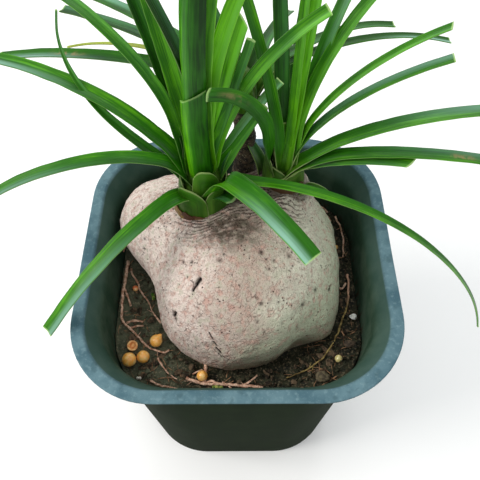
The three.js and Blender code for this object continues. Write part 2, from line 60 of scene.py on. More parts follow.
MM = 0.001
POT_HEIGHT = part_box("pot")[1].z / MM
RIM_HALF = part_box("pot")[1].x / MM
RIM_CORNER = 32  # corner radius of the rim in plan
FLANGE = 4.3
RIM_THICK = 1.7
COLLAR_Z = POT_HEIGHT - 8  # the funnel collar starts here
NECK_HALF, NECK_CORNER = 53, 31  # outside of the wall below the collar
FOOT_HALF, FOOT_CORNER = 45.5, 29
WALL = 1.2
FLOOR = 1.8
DRAIN_RADIUS, DRAIN_OUT, DRAIN_SIDES = 4.5, 26, 32
CORNER_STEPS = 18
SIDE_CUTS = 9
ROUND_CUTS = 4  # segments of a rounded edge
FOOT_ROUNDING, COLLAR_ROUNDING, RIM_ROUNDING = 1.4, 2.2, 0.6
RIM_WAVE = 0.16  # the soft plastic isn't quite straight
WAVE_LENGTH, WAVE_FROM = 24, 60  # its waves grow from this height up


def srgb(red, green, blue):
    """A colour as a screen shows it, 0 to 255, as the linear colour that a shader takes."""
    shares = [value / 255 for value in (red, green, blue)]
    return (*[s / 12.92 if s < 0.04 else ((s + 0.055) / 1.055) ** 2.4 for s in shares], 1)


class Finish:
    """A surface: one Principled shader, and the patterns in millimetres that feed it."""

    def __init__(self, name, sheen, **fixed):
        self.material = bpy.data.materials.new(name)
        self.material.use_nodes = True
        self.tree = self.material.node_tree
        self.shader = self.tree.nodes["Principled BSDF"]
        for socket, value in {"Specular_IOR_Level": sheen, **fixed}.items():
            self.shader.inputs[socket.replace("_", " ")].default_value = value
        where = self.tree.nodes.new("ShaderNodeTexCoord").outputs["Object"]
        self.place = self.add("VectorMath", where, Scale=1 / MM, operation="SCALE")

    def feed(self, socket, value):
        """Links what another node gives to the socket, or sets a fixed value."""
        if isinstance(value, bpy.types.NodeSocket):
            self.tree.links.new(value, socket)
        else:
            socket.default_value = value

    def add(self, kind, *values, **named):
        """A node: values go to its sockets in order, named ones to the socket or setting."""
        node = self.tree.nodes.new("ShaderNode" + kind)
        for setting in [name for name in named if name[0].islower()]:
            setattr(node, setting, named.pop(setting))
        for key, value in [*enumerate(values), *named.items()]:
            self.feed(node.inputs[key], value)
        return next(output for output in node.outputs if output.enabled)

    def math(self, operation, *values):
        return self.add("Math", *values, operation=operation)

    def times(self, product, *others):
        for other in others:
            product = self.math("MULTIPLY", product, other)
        return product

    def plus(self, total, *weighted):
        """The value plus each of the others times its weight."""
        for value, weight in weighted:
            total = self.math("MULTIPLY_ADD", value, weight, total)
        return total

    def ramp(self, value, low, high):
        """0 where the value is low, 1 where it is high, eased in between."""
        return self.add("MapRange", value, low, high, interpolation_type="SMOOTHSTEP")

    def spread(self, value, first, last):
        """From first to last over the middle range of a noise."""
        return self.add("MapRange", value, 0.3, 0.7, first, last)

    def noise(self, size, detail=3, place=None, stretch=(1, 1, 1), shift=0):
        """Soft noise around 0.5 with features about size millimetres wide."""
        spot = self.add("Mapping", place or self.place, (shift, shift, shift), Scale=stretch)
        return self.add("TexNoise", Vector=spot, Scale=1 / size, Detail=detail)

    def axis(self, name):
        """Millimetres along one axis."""
        return self.add("SeparateXYZ", self.place).node.outputs[name]

    def attribute(self, name):
        return self.add("Attribute", attribute_name=name).node.outputs["Fac"]

    def blend(self, share, first, second):
        """The first colour where share is 0, the second where it is 1."""
        node = self.tree.nodes.new("ShaderNodeMix")
        node.data_type = "RGBA"
        for index, value in ((0, share), (6, first), (7, second)):
            self.feed(node.inputs[index], srgb(*value) if isinstance(value, tuple) else value)
        return node.outputs[2]

    def washes(self, colour, *coats):
        """Thin coats over a colour: each is its own colour, and the shares that thin it."""
        for over, *shares in coats:
            colour = self.blend(self.times(*shares), colour, over)
        return colour

    def coat(self, colour, roughness, relief, depth):
        """Feeds the shader. depth is how high in millimetres a relief of 1 stands."""
        bump = self.add("Bump", Height=relief, Distance=depth * MM)
        for socket, value in (("Base Color", colour), ("Roughness", roughness), ("Normal", bump)):
            self.feed(self.shader.inputs[socket], value)
        return self.material


def square_loop(bm, half, corner, height):
    """The outline of a square with round corners, at a height."""
    square = bmesh.ops.create_grid(bm, x_segments=1, y_segments=1, size=half)["verts"]
    bmesh.ops.bevel(bm, geom=square, offset=corner, offset_type="OFFSET", segments=CORNER_STEPS,
                    profile=0.5, affect="VERTICES", material=-1)
    face = next(f for f in bm.faces if len(f.verts) > 4 and all(abs(v.co.z) < 1e-6 for v in f.verts))
    sides = [e for e in face.edges if e.calc_length() > half * 0.4]
    bmesh.ops.subdivide_edges(bm, edges=sides, cuts=SIDE_CUTS)
    bmesh.ops.translate(bm, verts=face.verts[:], vec=(0, 0, height))
    edges = face.edges[:]
    bmesh.ops.delete(bm, geom=[face], context="FACES_ONLY")
    return edges


def finished(bm, name, material, sharp=60):
    """The mesh as an object at the origin, in metres, smooth but for edges sharper than that."""
    bmesh.ops.scale(bm, vec=(MM, MM, MM), verts=bm.verts)
    mesh = bpy.data.meshes.new(name)
    bm.to_mesh(mesh)
    bm.free()
    mesh.polygons.foreach_set("use_smooth", [True] * len(mesh.polygons))
    mesh.set_sharp_from_angle(angle=math.radians(sharp))
    mesh.materials.append(material)
    piece = bpy.data.objects.new(name, mesh)
    bpy.context.scene.collection.objects.link(piece)
    return piece


plastic = Finish("pot_plastic", sheen=0.01)
level = plastic.axis("Z")
outer_side = plastic.attribute("outside")
clouds = plastic.noise(9, detail=4)
cloudy = plastic.ramp(clouds, 0.35, 0.7)
scuffs = plastic.noise(1.6, detail=5, stretch=(1, 1, 0.4))
dust = plastic.noise(0.5, detail=2, shift=4)
worn = plastic.noise(4, detail=5, stretch=(1, 1, 0.3), shift=15)
smear = plastic.times(plastic.ramp(level, 99, 90), plastic.ramp(scuffs, 0.45, 0.62),
                      plastic.ramp(level, 88, 91))
wall = plastic.washes(
    plastic.blend(cloudy, (44, 66, 52), (66, 84, 70)),
    ((72, 96, 92), plastic.ramp(level, COLLAR_Z - 3, POT_HEIGHT - 2), 0.5),  # the bleached collar, lighter also by a painted sheen of the sky
    ((58, 46, 36), smear),
    ((20, 38, 26), plastic.ramp(plastic.axis("Y"), 5, 50), 0.35),  # painted shade: the far wall is in shade, darker at the back
    # painted shade: the outside of the wall is coloured darker than the inside of the same plastic
    (plastic.blend(cloudy, (12, 25, 6), (18, 31, 11)), outer_side))
# the flange: blue-grey from bleaching and dust, and lighter also by a painted sheen of the sky
flange_dust_and_sheen = plastic.washes(
    plastic.blend(plastic.ramp(clouds, 0.3, 0.72), (70, 98, 108), (98, 126, 134)),
    ((116, 142, 148), plastic.ramp(scuffs, 0.5, 0.72), 0.5),
    ((146, 168, 172), plastic.ramp(dust, 0.62, 0.76), 0.35),
    ((64, 88, 94), plastic.ramp(worn, 0.56, 0.7), 0.5))
skin = plastic.blend(plastic.ramp(level, POT_HEIGHT - 1.5, POT_HEIGHT - 0.5), wall, flange_dust_and_sheen)
uneven = plastic.plus(1.0, (outer_side, -0.97))
pot_plastic = plastic.coat(skin, plastic.spread(plastic.times(scuffs, uneven), 0.58, 0.42),
                           plastic.times(plastic.plus(scuffs, (dust, 0.3)), uneven), 0.06)

bm = bmesh.new()
loops = [square_loop(bm, *ring) for ring in (
    (FOOT_HALF, FOOT_CORNER, 0),
    (NECK_HALF, NECK_CORNER, COLLAR_Z),
    (RIM_HALF - FLANGE + 1, RIM_CORNER - FLANGE + 1, POT_HEIGHT - RIM_THICK),
    (RIM_HALF, RIM_CORNER, POT_HEIGHT - RIM_THICK),
    (RIM_HALF, RIM_CORNER, POT_HEIGHT),
    (RIM_HALF - FLANGE, RIM_CORNER - FLANGE, POT_HEIGHT),
    (NECK_HALF - WALL, NECK_CORNER - WALL, COLLAR_Z),
    (FOOT_HALF - WALL, FOOT_CORNER - WALL, FLOOR),
)]
for lower, upper in zip(loops, loops[1:]):
    bmesh.ops.bridge_loops(bm, edges=lower + upper)
bmesh.ops.contextual_create(bm, geom=loops[0])
bmesh.ops.contextual_create(bm, geom=loops[-1])
bmesh.ops.recalc_face_normals(bm, faces=bm.faces)
for ring, rounding in ((0, FOOT_ROUNDING), (1, COLLAR_ROUNDING), (3, RIM_ROUNDING), (4, RIM_ROUNDING),
                       (5, RIM_ROUNDING), (6, COLLAR_ROUNDING)):
    bmesh.ops.bevel(bm, geom=[e for e in loops[ring] if e.is_valid], offset=rounding, segments=ROUND_CUTS,
                    offset_type="OFFSET", profile=0.5, affect="EDGES", material=-1)
for vert in bm.verts:
    grown = min(1, max(0, (vert.co.z - WAVE_FROM) / WAVE_FROM))
    vert.co.xy += vert.co.xy.normalized() * (noise.noise(vert.co / WAVE_LENGTH) * RIM_WAVE * grown)
pot = finished(bm, "pot", pot_plastic, sharp=35)

cutter_bm = bmesh.new()
for side in (-1, 1):
    for end in (-1, 1):
        bmesh.ops.create_cone(cutter_bm, cap_ends=True, segments=DRAIN_SIDES, radius1=DRAIN_RADIUS,
                              radius2=DRAIN_RADIUS, depth=4 * FLOOR,
                              matrix=Matrix.Translation((side * DRAIN_OUT, end * DRAIN_OUT, 0)))
cutter = finished(cutter_bm, "drain_cutter", pot_plastic)
drains = pot.modifiers.new("drains", "BOOLEAN")
drains.object = cutter
drains.operation = "DIFFERENCE"
bpy.context.view_layer.update()
drained = bpy.data.meshes.new_from_object(pot.evaluated_get(bpy.context.evaluated_depsgraph_get()))
pot.modifiers.clear()
pot.data = drained
drained.name = "pot"
outside = drained.attributes.new("outside", "FLOAT", "FACE")
outside.data.foreach_set("value", [float(face.normal.xy.dot(face.center.xy) > 0 or face.normal.z < -0.5)
                                   for face in drained.polygons])
bpy.data.objects.remove(cutter)
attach(pot, "root")
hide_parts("pot")

# The caudex: the swollen woody foot of the stem, a squat bulb with shoulders and a wrinkled
# neck. Its corky bark is pinkish beige, grey-green with age to the right, and pitted. Light
# and shade are painted on it too: lighter to the left and towards the top, darker low down,
# in the wrinkles, cracks and pits and on the neck between the crowns. The slender bare stem
# behind it is the same wood, ringed by old leaf scars and painted dark as the shade of the
# leaves round it.

HEART = np.array([2.0, 3.0, 106.0])  # every part of the skin is in sight of this point
LUMP_BLEND = 3.4
LUMPS = (  # middle and radii of each swelling
    ((1, -2, 104), (33, 37, 35)),
    ((-9, -14, 99), (20, 20, 18)),
    ((22, 1, 103), (18.5, 23, 20)),
    ((25, -14, 98), (14, 13, 14)),
    ((-28, 22, 110), (21, 22, 19)),
    ((-18, 13, 110), (20, 20, 19)),
    ((16, 19, 103), (24, 22, 19)),
    ((2, 17, 116), (27, 19, 17)),
    ((-12, 15, 123), (12, 12, 9)),
    ((18, 25, 126), (11, 11, 10)),
)
LEFT_CROWN = (-12.0, 15.0)  # where the two front rosettes stand on the neck
RIGHT_CROWN = (18.0, 25.0)
CRACKS = (  # an open split in the bark: from, to, half width and depth
    ((-13.2, -19.4, 131.0), (-14.4, -20.6, 129.4), 0.85, 1.0),
    ((-14.4, -20.6, 129.4), (-15.8, -22.0, 127.6), 0.5, 0.8),
    ((-12.9, -19.2, 131.2), (-11.8, -21.2, 129.6), 0.4, 0.6),
    ((-11.8, -21.2, 129.6), (-13.0, -23.0, 127.6), 0.35, 0.6),
    ((-10.2, -34.0, 117.8), (-8.8, -35.4, 115.6), 0.28, 0.4),
    ((-8.9, -35.9, 114.6), (-7.6, -36.9, 112.8), 0.32, 0.55),
    ((-7.8, -37.2, 111.8), (-6.2, -38.0, 110.0), 0.42, 0.6),
    ((-6.9, -37.9, 109.2), (-5.6, -38.4, 107.4), 0.34, 0.55),
    ((-5.4, -38.4, 108.4), (-2.9, -38.8, 106.6), 0.3, 0.5),
    ((-8.6, -37.0, 110.6), (-7.8, -37.6, 109.4), 0.3, 0.45),
    ((-24.3, -24.6, 117.2), (-22.4, -26.6, 113.2), 0.8, 1.1),
    ((-22.4, -24.9, 117.0), (-23.8, -25.4, 114.4), 0.6, 0.8),
)
PITS = (  # middle, radius and depth of the larger pits
    ((-20.0, -11.3, 129.9), 0.9, 0.7),
    ((-16.4, -12.7, 132.1), 0.8, 0.7),
    ((-5.9, -14.5, 136.2), 0.9, 0.8),
    ((8.9, -11.6, 136.8), 1.1, 0.8),
    ((19.1, -10.5, 132.3), 0.9, 0.7),
    ((8.7, -27.8, 127.7), 0.9, 0.8),
    ((35.5, -14.2, 113.8), 1.0, 0.7),
    ((7.3, -32.2, 123.2), 0.7, 0.6),
    ((29.3, -17.3, 119.3), 1.1, 0.6),
    ((24.0, -23.7, 119.7), 1.1, 0.6),
    ((-3.6, -38.6, 108.6), 0.5, 0.5),
    ((-6.0, -36.8, 113.6), 0.45, 0.4),
    ((-1.4, -17.4, 136.6), 0.7, 0.6),
    ((13.4, -13.8, 134.6), 0.7, 0.6),
    ((-14.6, -27.2, 124.6), 0.6, 0.5),
    ((16.2, -30.6, 119.0), 0.6, 0.5),
)
FLAKE = ((-12.6, -21.4, 129.9), 1.9, 0.5)  # bark that has lifted beside the split
BUMPS = (  # knobs and dents: middle, radius and height
    ((33.0, -22.0, 97.0), 5.0, 2.2),
    ((24.0, -31.0, 96.0), 7.0, -3.0),
    ((-45.0, 17.0, 112.0), 8.0, 0.6),
    ((-32.0, 33.0, 125.0), 13.0, -3.2),
)
STRAY_PITS, STRAY_DEPTH = 60, 0.3  # small pits anywhere
FINE_ZONE = 3.2  # the mesh is finer this near a crack
WRINKLED_Z = 112  # the neck's wrinkles start above this height
NO_RING = 60  # farther from the crowns than any wrinkle
RING_PITCH = 1.5  # spacing of the neck's wrinkles
NECK_SHADE = (-2.5, -2.0, 138.8)  # painted shade: the neck is painted darkest between the crowns, where the leaves shade it and the wood is dark brown
NECK_SHADE_SHAPE = (0.68, 1.0, 1.0)
STEM_FOOT_Z, STEM_TOP_Z = 98, 168
STEM_AT = (3.0, 34.0)
STEM_RADIUS, STEM_FLARE = 4, 2.2
STEM_STEPS, STEM_SIDES, STEM_SCARS = 90, 26, 7
RAY_REACH, HALVINGS = (4.0, 90.0), 26  # the bark is found this far from the heart, by halving


def caudex_distance(points):
    """Distance of each point from the bark, below zero inside it, as in the part's source."""
    total = np.zeros(len(points))
    for middle, radii in LUMPS:
        offset = points - np.array(middle, float)
        radii = np.array(radii, float)
        nearness = np.linalg.norm(offset / radii, axis=1)
        slope = np.linalg.norm(offset / radii**2, axis=1)
        total += np.exp(-(nearness * (nearness - 1) / slope) / LUMP_BLEND)
    return -LUMP_BLEND * np.log(total)


def on_bark(rays):
    """Where rays from the heart leave the wood."""
    inside, outside = (np.full(len(rays), reach) for reach in RAY_REACH)
    for _ in range(HALVINGS):
        reach = (inside + outside) / 2
        within = caudex_distance(HEART + rays * reach[:, None]) < 0
        inside, outside = np.where(within, reach, inside), np.where(within, outside, reach)
    return HEART + rays * inside[:, None]


def coordinates(bm):
    return np.array([vert.co[:] for vert in bm.verts])


def from_line(points, start, end):
    """Distance of each point from the stretch between two others."""
    start, end = np.array(start, float), np.array(end, float)
    share = np.clip((points - start) @ (end - start) / ((end - start) @ (end - start)), 0, 1)
    return np.linalg.norm(points - start - share[:, None] * (end - start), axis=1)


def eased(value, low, high):
    """0 below low, 1 above high, and a smooth rise between."""
    share = np.clip((value - low) / (high - low), 0, 1)
    return share * share * (3 - 2 * share)


def add_tube(bm, line, radii, sides, upright=(0, 0, 1)):
    """A closed round tube through the points of a line: a grid rolled up along it."""
    rings = len(line) - 1
    grid = bmesh.ops.create_grid(bm, x_segments=sides, y_segments=rings, size=1)["verts"]
    for vert in grid:
        angle = math.pi * (vert.co.x + 1)
        ring = round((vert.co.y + 1) / 2 * rings)
        along = (line[min(ring + 1, rings)] - line[max(ring - 1, 0)]).normalized()
        out = along.cross(Vector(upright)).normalized()
        over = out.cross(along)
        vert.co = line[ring] + (out * math.cos(angle) + over * math.sin(angle)) * radii[ring]
    bmesh.ops.remove_doubles(bm, verts=grid, dist=1e-4)
    rolled = [vert for vert in grid if vert.is_valid]
    rims = {edge for vert in rolled for edge in vert.link_edges if edge.is_boundary}
    bmesh.ops.holes_fill(bm, edges=list(rims), sides=0)
    return rolled


def near(points, middle, radius, steep=2):
    """1 at a middle, and less and less round it."""
    return np.exp(-(np.linalg.norm(points - np.array(middle), axis=1) / radius) ** steep)


def mark(vert, layers, **values):
    """Gives a point the values that its finish reads as attributes."""
    for key, value in values.items():
        vert[layers[key]] = value


wood = Finish("bark", sheen=0.25)
ring_line = wood.attribute("ring")
wood_x, wood_z = wood.axis("X"), wood.axis("Z")
blotch = wood.noise(11, detail=4)
mottle = wood.noise(2.6, detail=5, shift=7)
fleck = wood.noise(1.5, stretch=(1, 1, 0.55), shift=13)
grit = wood.noise(0.45)
weathered = wood.ramp(wood.plus(0.0, (wood_x, 0.06), (wood_z, -0.035), (blotch, 2.6)), -3.4, -1.2)
# painted light: the bark is painted lighter to the left, where the light comes from
painted_light_left = wood.ramp(wood.plus(wood_x, (blotch, 22)), 16, -16)
crackle_at = wood.add("VectorMath", wood.place, wood.noise(0.9, shift=31), operation="ADD")
crackle = wood.add("TexVoronoi", Vector=crackle_at, Scale=1 / 1.9, feature="DISTANCE_TO_EDGE")
seam = wood.times(wood.ramp(crackle, 0.16, 0.03), wood.ramp(mottle, 0.42, 0.58))
stretched = wood.noise(2.4, detail=5, stretch=(1, 1, 0.3), shift=52)
stretch_marks = wood.times(wood.ramp(stretched, 0.52, 0.66), wood.ramp(wood_x, 14, -8))
split_skin = wood.times(wood.ramp(crackle, 0.09, 0.02), wood.ramp(wood.noise(3.2, shift=50), 0.64, 0.72))
near_crown = wood.ramp(ring_line, 27, 13)
pores = wood.add("TexVoronoi", Vector=wood.place, Scale=1 / 1.5)
speck = wood.times(wood.ramp(pores, 0.24, 0.1),
                   wood.math("MAXIMUM", wood.ramp(wood.noise(5, shift=21), 0.5, 0.64), near_crown))
in_front = wood.times(wood.plus(0.15, (wood.ramp(wood_x, -30, -14), 0.7)), wood.ramp(wood_x, 34, 16))
broken = wood.ramp(wood.noise(3.6, detail=4, shift=40), 0.36, 0.54)
wrinkle = wood.math("SINE", wood.times(wood.plus(ring_line, (mottle, 2.2)), 2 * math.pi / RING_PITCH))
# painted shade: the neck's wrinkle creases are painted dark
shaded_wrinkle_creases = wood.times(wood.ramp(wrinkle, 0.2, -0.9), near_crown, broken, in_front)
from_neck = wood.add("VectorMath", wood.place, NECK_SHADE, operation="SUBTRACT")
from_neck = wood.add("VectorMath", from_neck, NECK_SHADE_SHAPE, operation="MULTIPLY")
from_neck = wood.plus(wood.add("VectorMath", from_neck, operation="LENGTH"), (mottle, 7))
streaky = wood.ramp(wood.noise(1.6, detail=5, stretch=(0.45, 0.6, 1.5), shift=60), 0.3, 0.6)
# painted shade: the neck is darkest between the crowns, where the leaves shade it and the wood is dark
# brown; a dry rim also rings each crown
neck_shade_and_dry_rim = wood.math("MAXIMUM", wood.times(wood.ramp(from_neck, 17, 6), wood.plus(0.3, (streaky, 0.7))),
                   wood.times(wood.ramp(ring_line, 12, 9.5), 0.8))
# the weathered grey-green bark, painted lighter towards the top as if lit from above
weathered_lit_top = wood.blend(wood.times(wood.ramp(wood_z, 112, 130), 0.6), (178, 186, 158), (232, 224, 208))
# the bare stem's bark, painted dark for the shade of the leaves round it
stem_bark_in_shade = wood.blend(wood.ramp(mottle, 0.4, 0.62), (30, 25, 20), (84, 70, 54))
bark_colour = wood.washes(
    wood.blend(weathered, (176, 160, 146), weathered_lit_top),
    ((160, 124, 102), wood.ramp(wood_z, 108, 95), 0.5),  # painted shade: the bulb is darker low down
    # painted light on the left side
    ((236, 220, 211), painted_light_left, 0.82),
    ((190, 152, 138), wood.ramp(mottle, 0.5, 0.7), 0.6),  # pinkish and
    ((166, 166, 142), wood.ramp(mottle, 0.47, 0.34), 0.5),  # grey-green mottling
    ((150, 112, 98), seam, 0.14),
    ((192, 142, 128), stretch_marks, 0.5),
    ((92, 66, 54), split_skin, 0.6),
    ((176, 120, 106), wood.ramp(fleck, 0.6, 0.76), 0.55),
    ((104, 88, 74), wood.ramp(grit, 0.48, 0.28), 0.6),  # dark and
    ((232, 220, 208), wood.ramp(grit, 0.58, 0.74), 0.4),  # pale grains
    ((66, 48, 38), speck),
    # painted shade on the neck, and the dry rim round the crowns
    ((56, 47, 34), neck_shade_and_dry_rim, 0.92),
    # painted shade in the wrinkle creases
    ((62, 46, 38), shaded_wrinkle_creases, 0.95),
    ((228, 208, 196), wood.attribute("pale")),
    # painted shade: the cracks and pits are painted near black
    ((24, 16, 12), wood.attribute("hollow")),
    # the bare stem, painted dark as shade
    (wood.blend(wood.ramp(grit, 0.6, 0.72), stem_bark_in_shade, (150, 150, 122)), wood.attribute("bare_stem")))
surface = wood.plus(mottle, (grit, 0.8), (crackle, 0.3), (speck, -1.2), (stretch_marks, -0.4),
                    (split_skin, -1.0), (shaded_wrinkle_creases, -1.0), (seam, -0.5))
bark = wood.coat(bark_colour, wood.spread(mottle, 0.72, 0.9), surface, 0.5)

bm = bmesh.new()
layers = {name: bm.verts.layers.float.new(name) for name in ("hollow", "pale", "ring", "bare_stem")}
bmesh.ops.create_icosphere(bm, subdivisions=7, radius=1)
rays = coordinates(bm)
skin_points = on_bark(rays / np.linalg.norm(rays, axis=1)[:, None])
near_crack = np.min([from_line(skin_points, start, end) for start, end, *_ in CRACKS], axis=0) < FINE_ZONE
bm.edges.ensure_lookup_table()
fine = [edge for edge in bm.edges if all(near_crack[vert.index] for vert in edge.verts)]
bmesh.ops.subdivide_edges(bm, edges=fine, cuts=3, use_grid_fill=True)
bmesh.ops.triangulate(bm, faces=[face for face in bm.faces if len(face.verts) > 3])

rays = coordinates(bm)
rays /= np.linalg.norm(rays, axis=1)[:, None]
skin_points = on_bark(rays)
wobble = np.array([noise.noise(Vector(p) / 9) for p in skin_points])
swell = np.array([noise.fractal(Vector(p) / 13, 0.9, 2.1, 4) for p in skin_points])
ring_from = from_line(skin_points * (1, 1, 0), (*LEFT_CROWN, 0), (*RIGHT_CROWN, 0)) + 2.2 * wobble
ring_from = np.where(skin_points[:, 2] > WRINKLED_Z, ring_from, NO_RING)
wrinkles = 0.5 - 0.5 * np.sin((ring_from + 0.8 * swell) * 2 * math.pi / RING_PITCH)
crumple = np.array([noise.fractal(Vector(p) / 2.6 + Vector((3, 0, 0)), 1.0, 2.0, 2) for p in skin_points])
broken_up = np.array([0.7 + noise.noise(Vector(p) / 4) for p in skin_points])
relief = 0.7 * swell + 0.16 * crumple - 0.3 * wrinkles**2 * eased(ring_from, 30, 13) * broken_up
hollows = np.zeros(len(rays))
for start, end, half, depth in CRACKS:
    cut = np.exp(-(from_line(skin_points, start, end) / half) ** 2)
    relief -= depth * cut
    hollows = np.maximum(hollows, cut)
for middle, radius, rise in BUMPS:
    relief += rise * near(skin_points, middle, radius)
scatter = random.Random(5)
stray = [skin_points[scatter.randrange(len(rays))] for _ in range(STRAY_PITS)]
stray = [(spot, scatter.uniform(0.35, 0.6), STRAY_DEPTH) for spot in stray]
for middle, radius, depth in (*PITS, *stray):
    pit = near(skin_points, middle, radius)
    relief -= depth * pit
    hollows = np.maximum(hollows, 0.8 * pit**2)
flake_at, flake_radius, flake_height = FLAKE
flake = near(skin_points, flake_at, flake_radius, steep=4)
relief += flake_height * flake * (1 - hollows)
skin_points += rays * relief[:, None]
for vert, spot, hole, lifted, ring in zip(bm.verts, skin_points, hollows, flake, ring_from):
    vert.co = spot
    mark(vert, layers, hollow=min(1, 1.25 * hole), pale=0.8 * lifted * (1 - hole), ring=ring)

stem_line, stem_radii = [], []
for step in range(STEM_STEPS + 1):
    share = step / STEM_STEPS
    spot = Vector((*STEM_AT, STEM_FOOT_Z + (STEM_TOP_Z - STEM_FOOT_Z) * share))
    scar = 0.32 * math.cos(share * 2 * STEM_SCARS * math.pi) + 0.18 * noise.noise(spot / 1.7)
    stem_line.append(spot)
    stem_radii.append(STEM_RADIUS + STEM_FLARE * (1 - share) ** 2 + scar)
for vert in add_tube(bm, stem_line, stem_radii, STEM_SIDES, upright=(0, 1, 0)):
    vert.co += Vector((noise.noise(vert.co / 1.2), noise.noise(vert.co / 1.2 + Vector((9, 0, 0))), 0)) * 0.3
    mark(vert, layers, bare_stem=1, ring=NO_RING)
bmesh.ops.recalc_face_normals(bm, faces=bm.faces)
caudex = finished(bm, "caudex", bark, sharp=180)
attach(caudex, "root")
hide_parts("caudex")

# The soil: dark peat mix that fills the pot to 28 mm below the rim. Its surface is loose
# crumbs from half a millimetre to 3 mm across, with dead fibres and bits of bark in it.

SOIL_LEVEL = 92
SOIL_GRID = 200
WALL_GAP = 0.4  # the soil keeps this far from the pot's wall
MOAT_DEPTH, MOAT_WIDTH = 1.6, 3.5  # it has sunk a little round the wood
SKIRT_LEVELS = (SOIL_LEVEL * 0.5, FLOOR + 0.3)
CRUMBS = 520
CRUMB_SIZES = (0.5, 1.7)  # radii


def soil_height(x, y):
    """Height of the soil as in the part's source."""
    swell = 0.9 * math.sin(x * 0.09 + 0.7) * math.cos(y * 0.075 - 0.4)
    crumbs = 0.45 * math.sin(x * 0.43 + 1.3 * math.sin(y * 0.31)) * math.sin(y * 0.39 + 0.8)
    return SOIL_LEVEL + swell + crumbs


def crumbly_height(x, y):
    """Height of the loose surface, with its clumps."""
    here = Vector((x, y, 0))
    clump = 0.8 * noise.noise(here / 3.1) + 0.5 * noise.noise(here / 1.4 + Vector((5, 5, 0)))
    return soil_height(x, y) - 0.3 + clump + 0.25 * noise.noise(here / 0.8)


def inside_wall(z):
    """Half width and corner radius inside the pot's wall at a height."""
    share = z / COLLAR_Z
    half = FOOT_HALF + (NECK_HALF - FOOT_HALF) * share - WALL
    return half, FOOT_CORNER + (NECK_CORNER - FOOT_CORNER) * share - WALL


def from_corner(spot, straight):
    """The nearest point of a square to a spot, and the way from there to the spot."""
    anchor = Vector((max(-straight, min(straight, spot.x)), max(-straight, min(straight, spot.y))))
    return anchor, spot.xy - anchor


def in_round_square(u, v, half, corner):
    """A point of the square from -1 to 1, moved in to a square with round corners."""
    anchor, out = from_corner(Vector((u * half, v * half)), half - corner)
    if out.x and out.y:
        out *= max(abs(out.x), abs(out.y)) / out.length
    return anchor + out


def kept_inside(spot, margin):
    """A point of the plan, moved in from the pot's wall to stand at least a margin away."""
    anchor, out = from_corner(spot, soil_half - soil_corner)
    return anchor + out * min(1, (soil_corner - margin) / max(out.length, 1e-6))


def drawn_spot(scatter, margin):
    """A random place on the soil, a margin in from its edge."""
    return in_round_square(scatter.uniform(-1, 1), scatter.uniform(-1, 1), soil_half - margin, soil_corner)


def drawn_turn(scatter, **tilts):
    """A random turn about Z, and then one of at most so many radians about each other axis."""
    turn = Matrix.Rotation(scatter.uniform(0, math.tau), 4, "Z")
    for axis, most in tilts.items():
        turn @= Matrix.Rotation(scatter.uniform(-most, most), 4, axis)
    return turn


def wood_gap(spot):
    """How far a spot on the soil is from the wood."""
    return caudex_distance(np.array([(spot.x, spot.y, SOIL_LEVEL + 1)]))[0]


def add_crumb(bm, middle, radius, turn, shares, rough, grain):
    """A lump with broken sides, turned, and flattened by the shares along its own axes."""
    place = Matrix.Translation(middle) @ turn @ Matrix.Diagonal((*shares, 1))
    lump = bmesh.ops.create_icosphere(bm, subdivisions=2, radius=radius, matrix=place)
    for vert in lump["verts"]:
        vert.co += (vert.co - middle) * rough * noise.noise(vert.co / (grain * radius))


peat = Finish("soil", sheen=0.3)
lumps = peat.noise(3.2, detail=5)
bits = peat.noise(0.9, detail=4, shift=3)
across = peat.axis("X")
peat_colour = peat.washes(
    peat.blend(peat.ramp(lumps, 0.35, 0.6), (22, 23, 14), (58, 58, 40)),
    ((128, 114, 90), peat.ramp(bits, 0.52, 0.7)),
    ((112, 66, 50), peat.ramp(peat.noise(1.1, shift=11), 0.62, 0.7), 0.35),
    # painted light: the soil is lighter and greener to the left, where the light comes from
    ((132, 138, 112), peat.ramp(across, -16, -30), 0.36),
    # painted shade: the soil is darker to the right
    ((12, 18, 6), peat.ramp(across, -16, 10), 0.35),
    ((140, 124, 104), peat.ramp(peat.noise(0.7, shift=17), 0.7, 0.76)))
soil_finish = peat.coat(peat_colour, peat.spread(lumps, 0.7, 0.95),
                        peat.plus(peat.noise(0.4, shift=5), (bits, 0.6)), 0.35)

bm = bmesh.new()
surface_verts = bmesh.ops.create_grid(bm, x_segments=SOIL_GRID, y_segments=SOIL_GRID, size=1)["verts"]
soil_half, soil_corner = inside_wall(SOIL_LEVEL)
soil_half -= WALL_GAP
plan = [in_round_square(vert.co.x, vert.co.y, soil_half, soil_corner) for vert in surface_verts]
to_wood = caudex_distance(np.array([(spot.x, spot.y, SOIL_LEVEL) for spot in plan]))
for vert, spot, gap in zip(surface_verts, plan, to_wood):
    moat = MOAT_DEPTH * math.exp(-max(gap, 0) / MOAT_WIDTH)
    vert.co = (spot.x, spot.y, crumbly_height(spot.x, spot.y) - moat)
edge_loop = [edge for edge in bm.edges if edge.is_boundary]
upper_half = soil_half
for drop in SKIRT_LEVELS:
    lower_half = inside_wall(drop)[0] - WALL_GAP
    shrink = lower_half / upper_half
    skirt = bmesh.ops.extrude_edge_only(bm, edges=edge_loop)["geom"]
    for vert in (item for item in skirt if isinstance(item, bmesh.types.BMVert)):
        vert.co = (vert.co.x * shrink, vert.co.y * shrink, drop)
    edge_loop = [item for item in skirt if isinstance(item, bmesh.types.BMEdge)]
    upper_half = lower_half
bmesh.ops.holes_fill(bm, edges=edge_loop, sides=0)
bmesh.ops.recalc_face_normals(bm, faces=bm.faces)
soil = finished(bm, "soil", soil_finish, sharp=180)
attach(soil, "root")
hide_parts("soil")

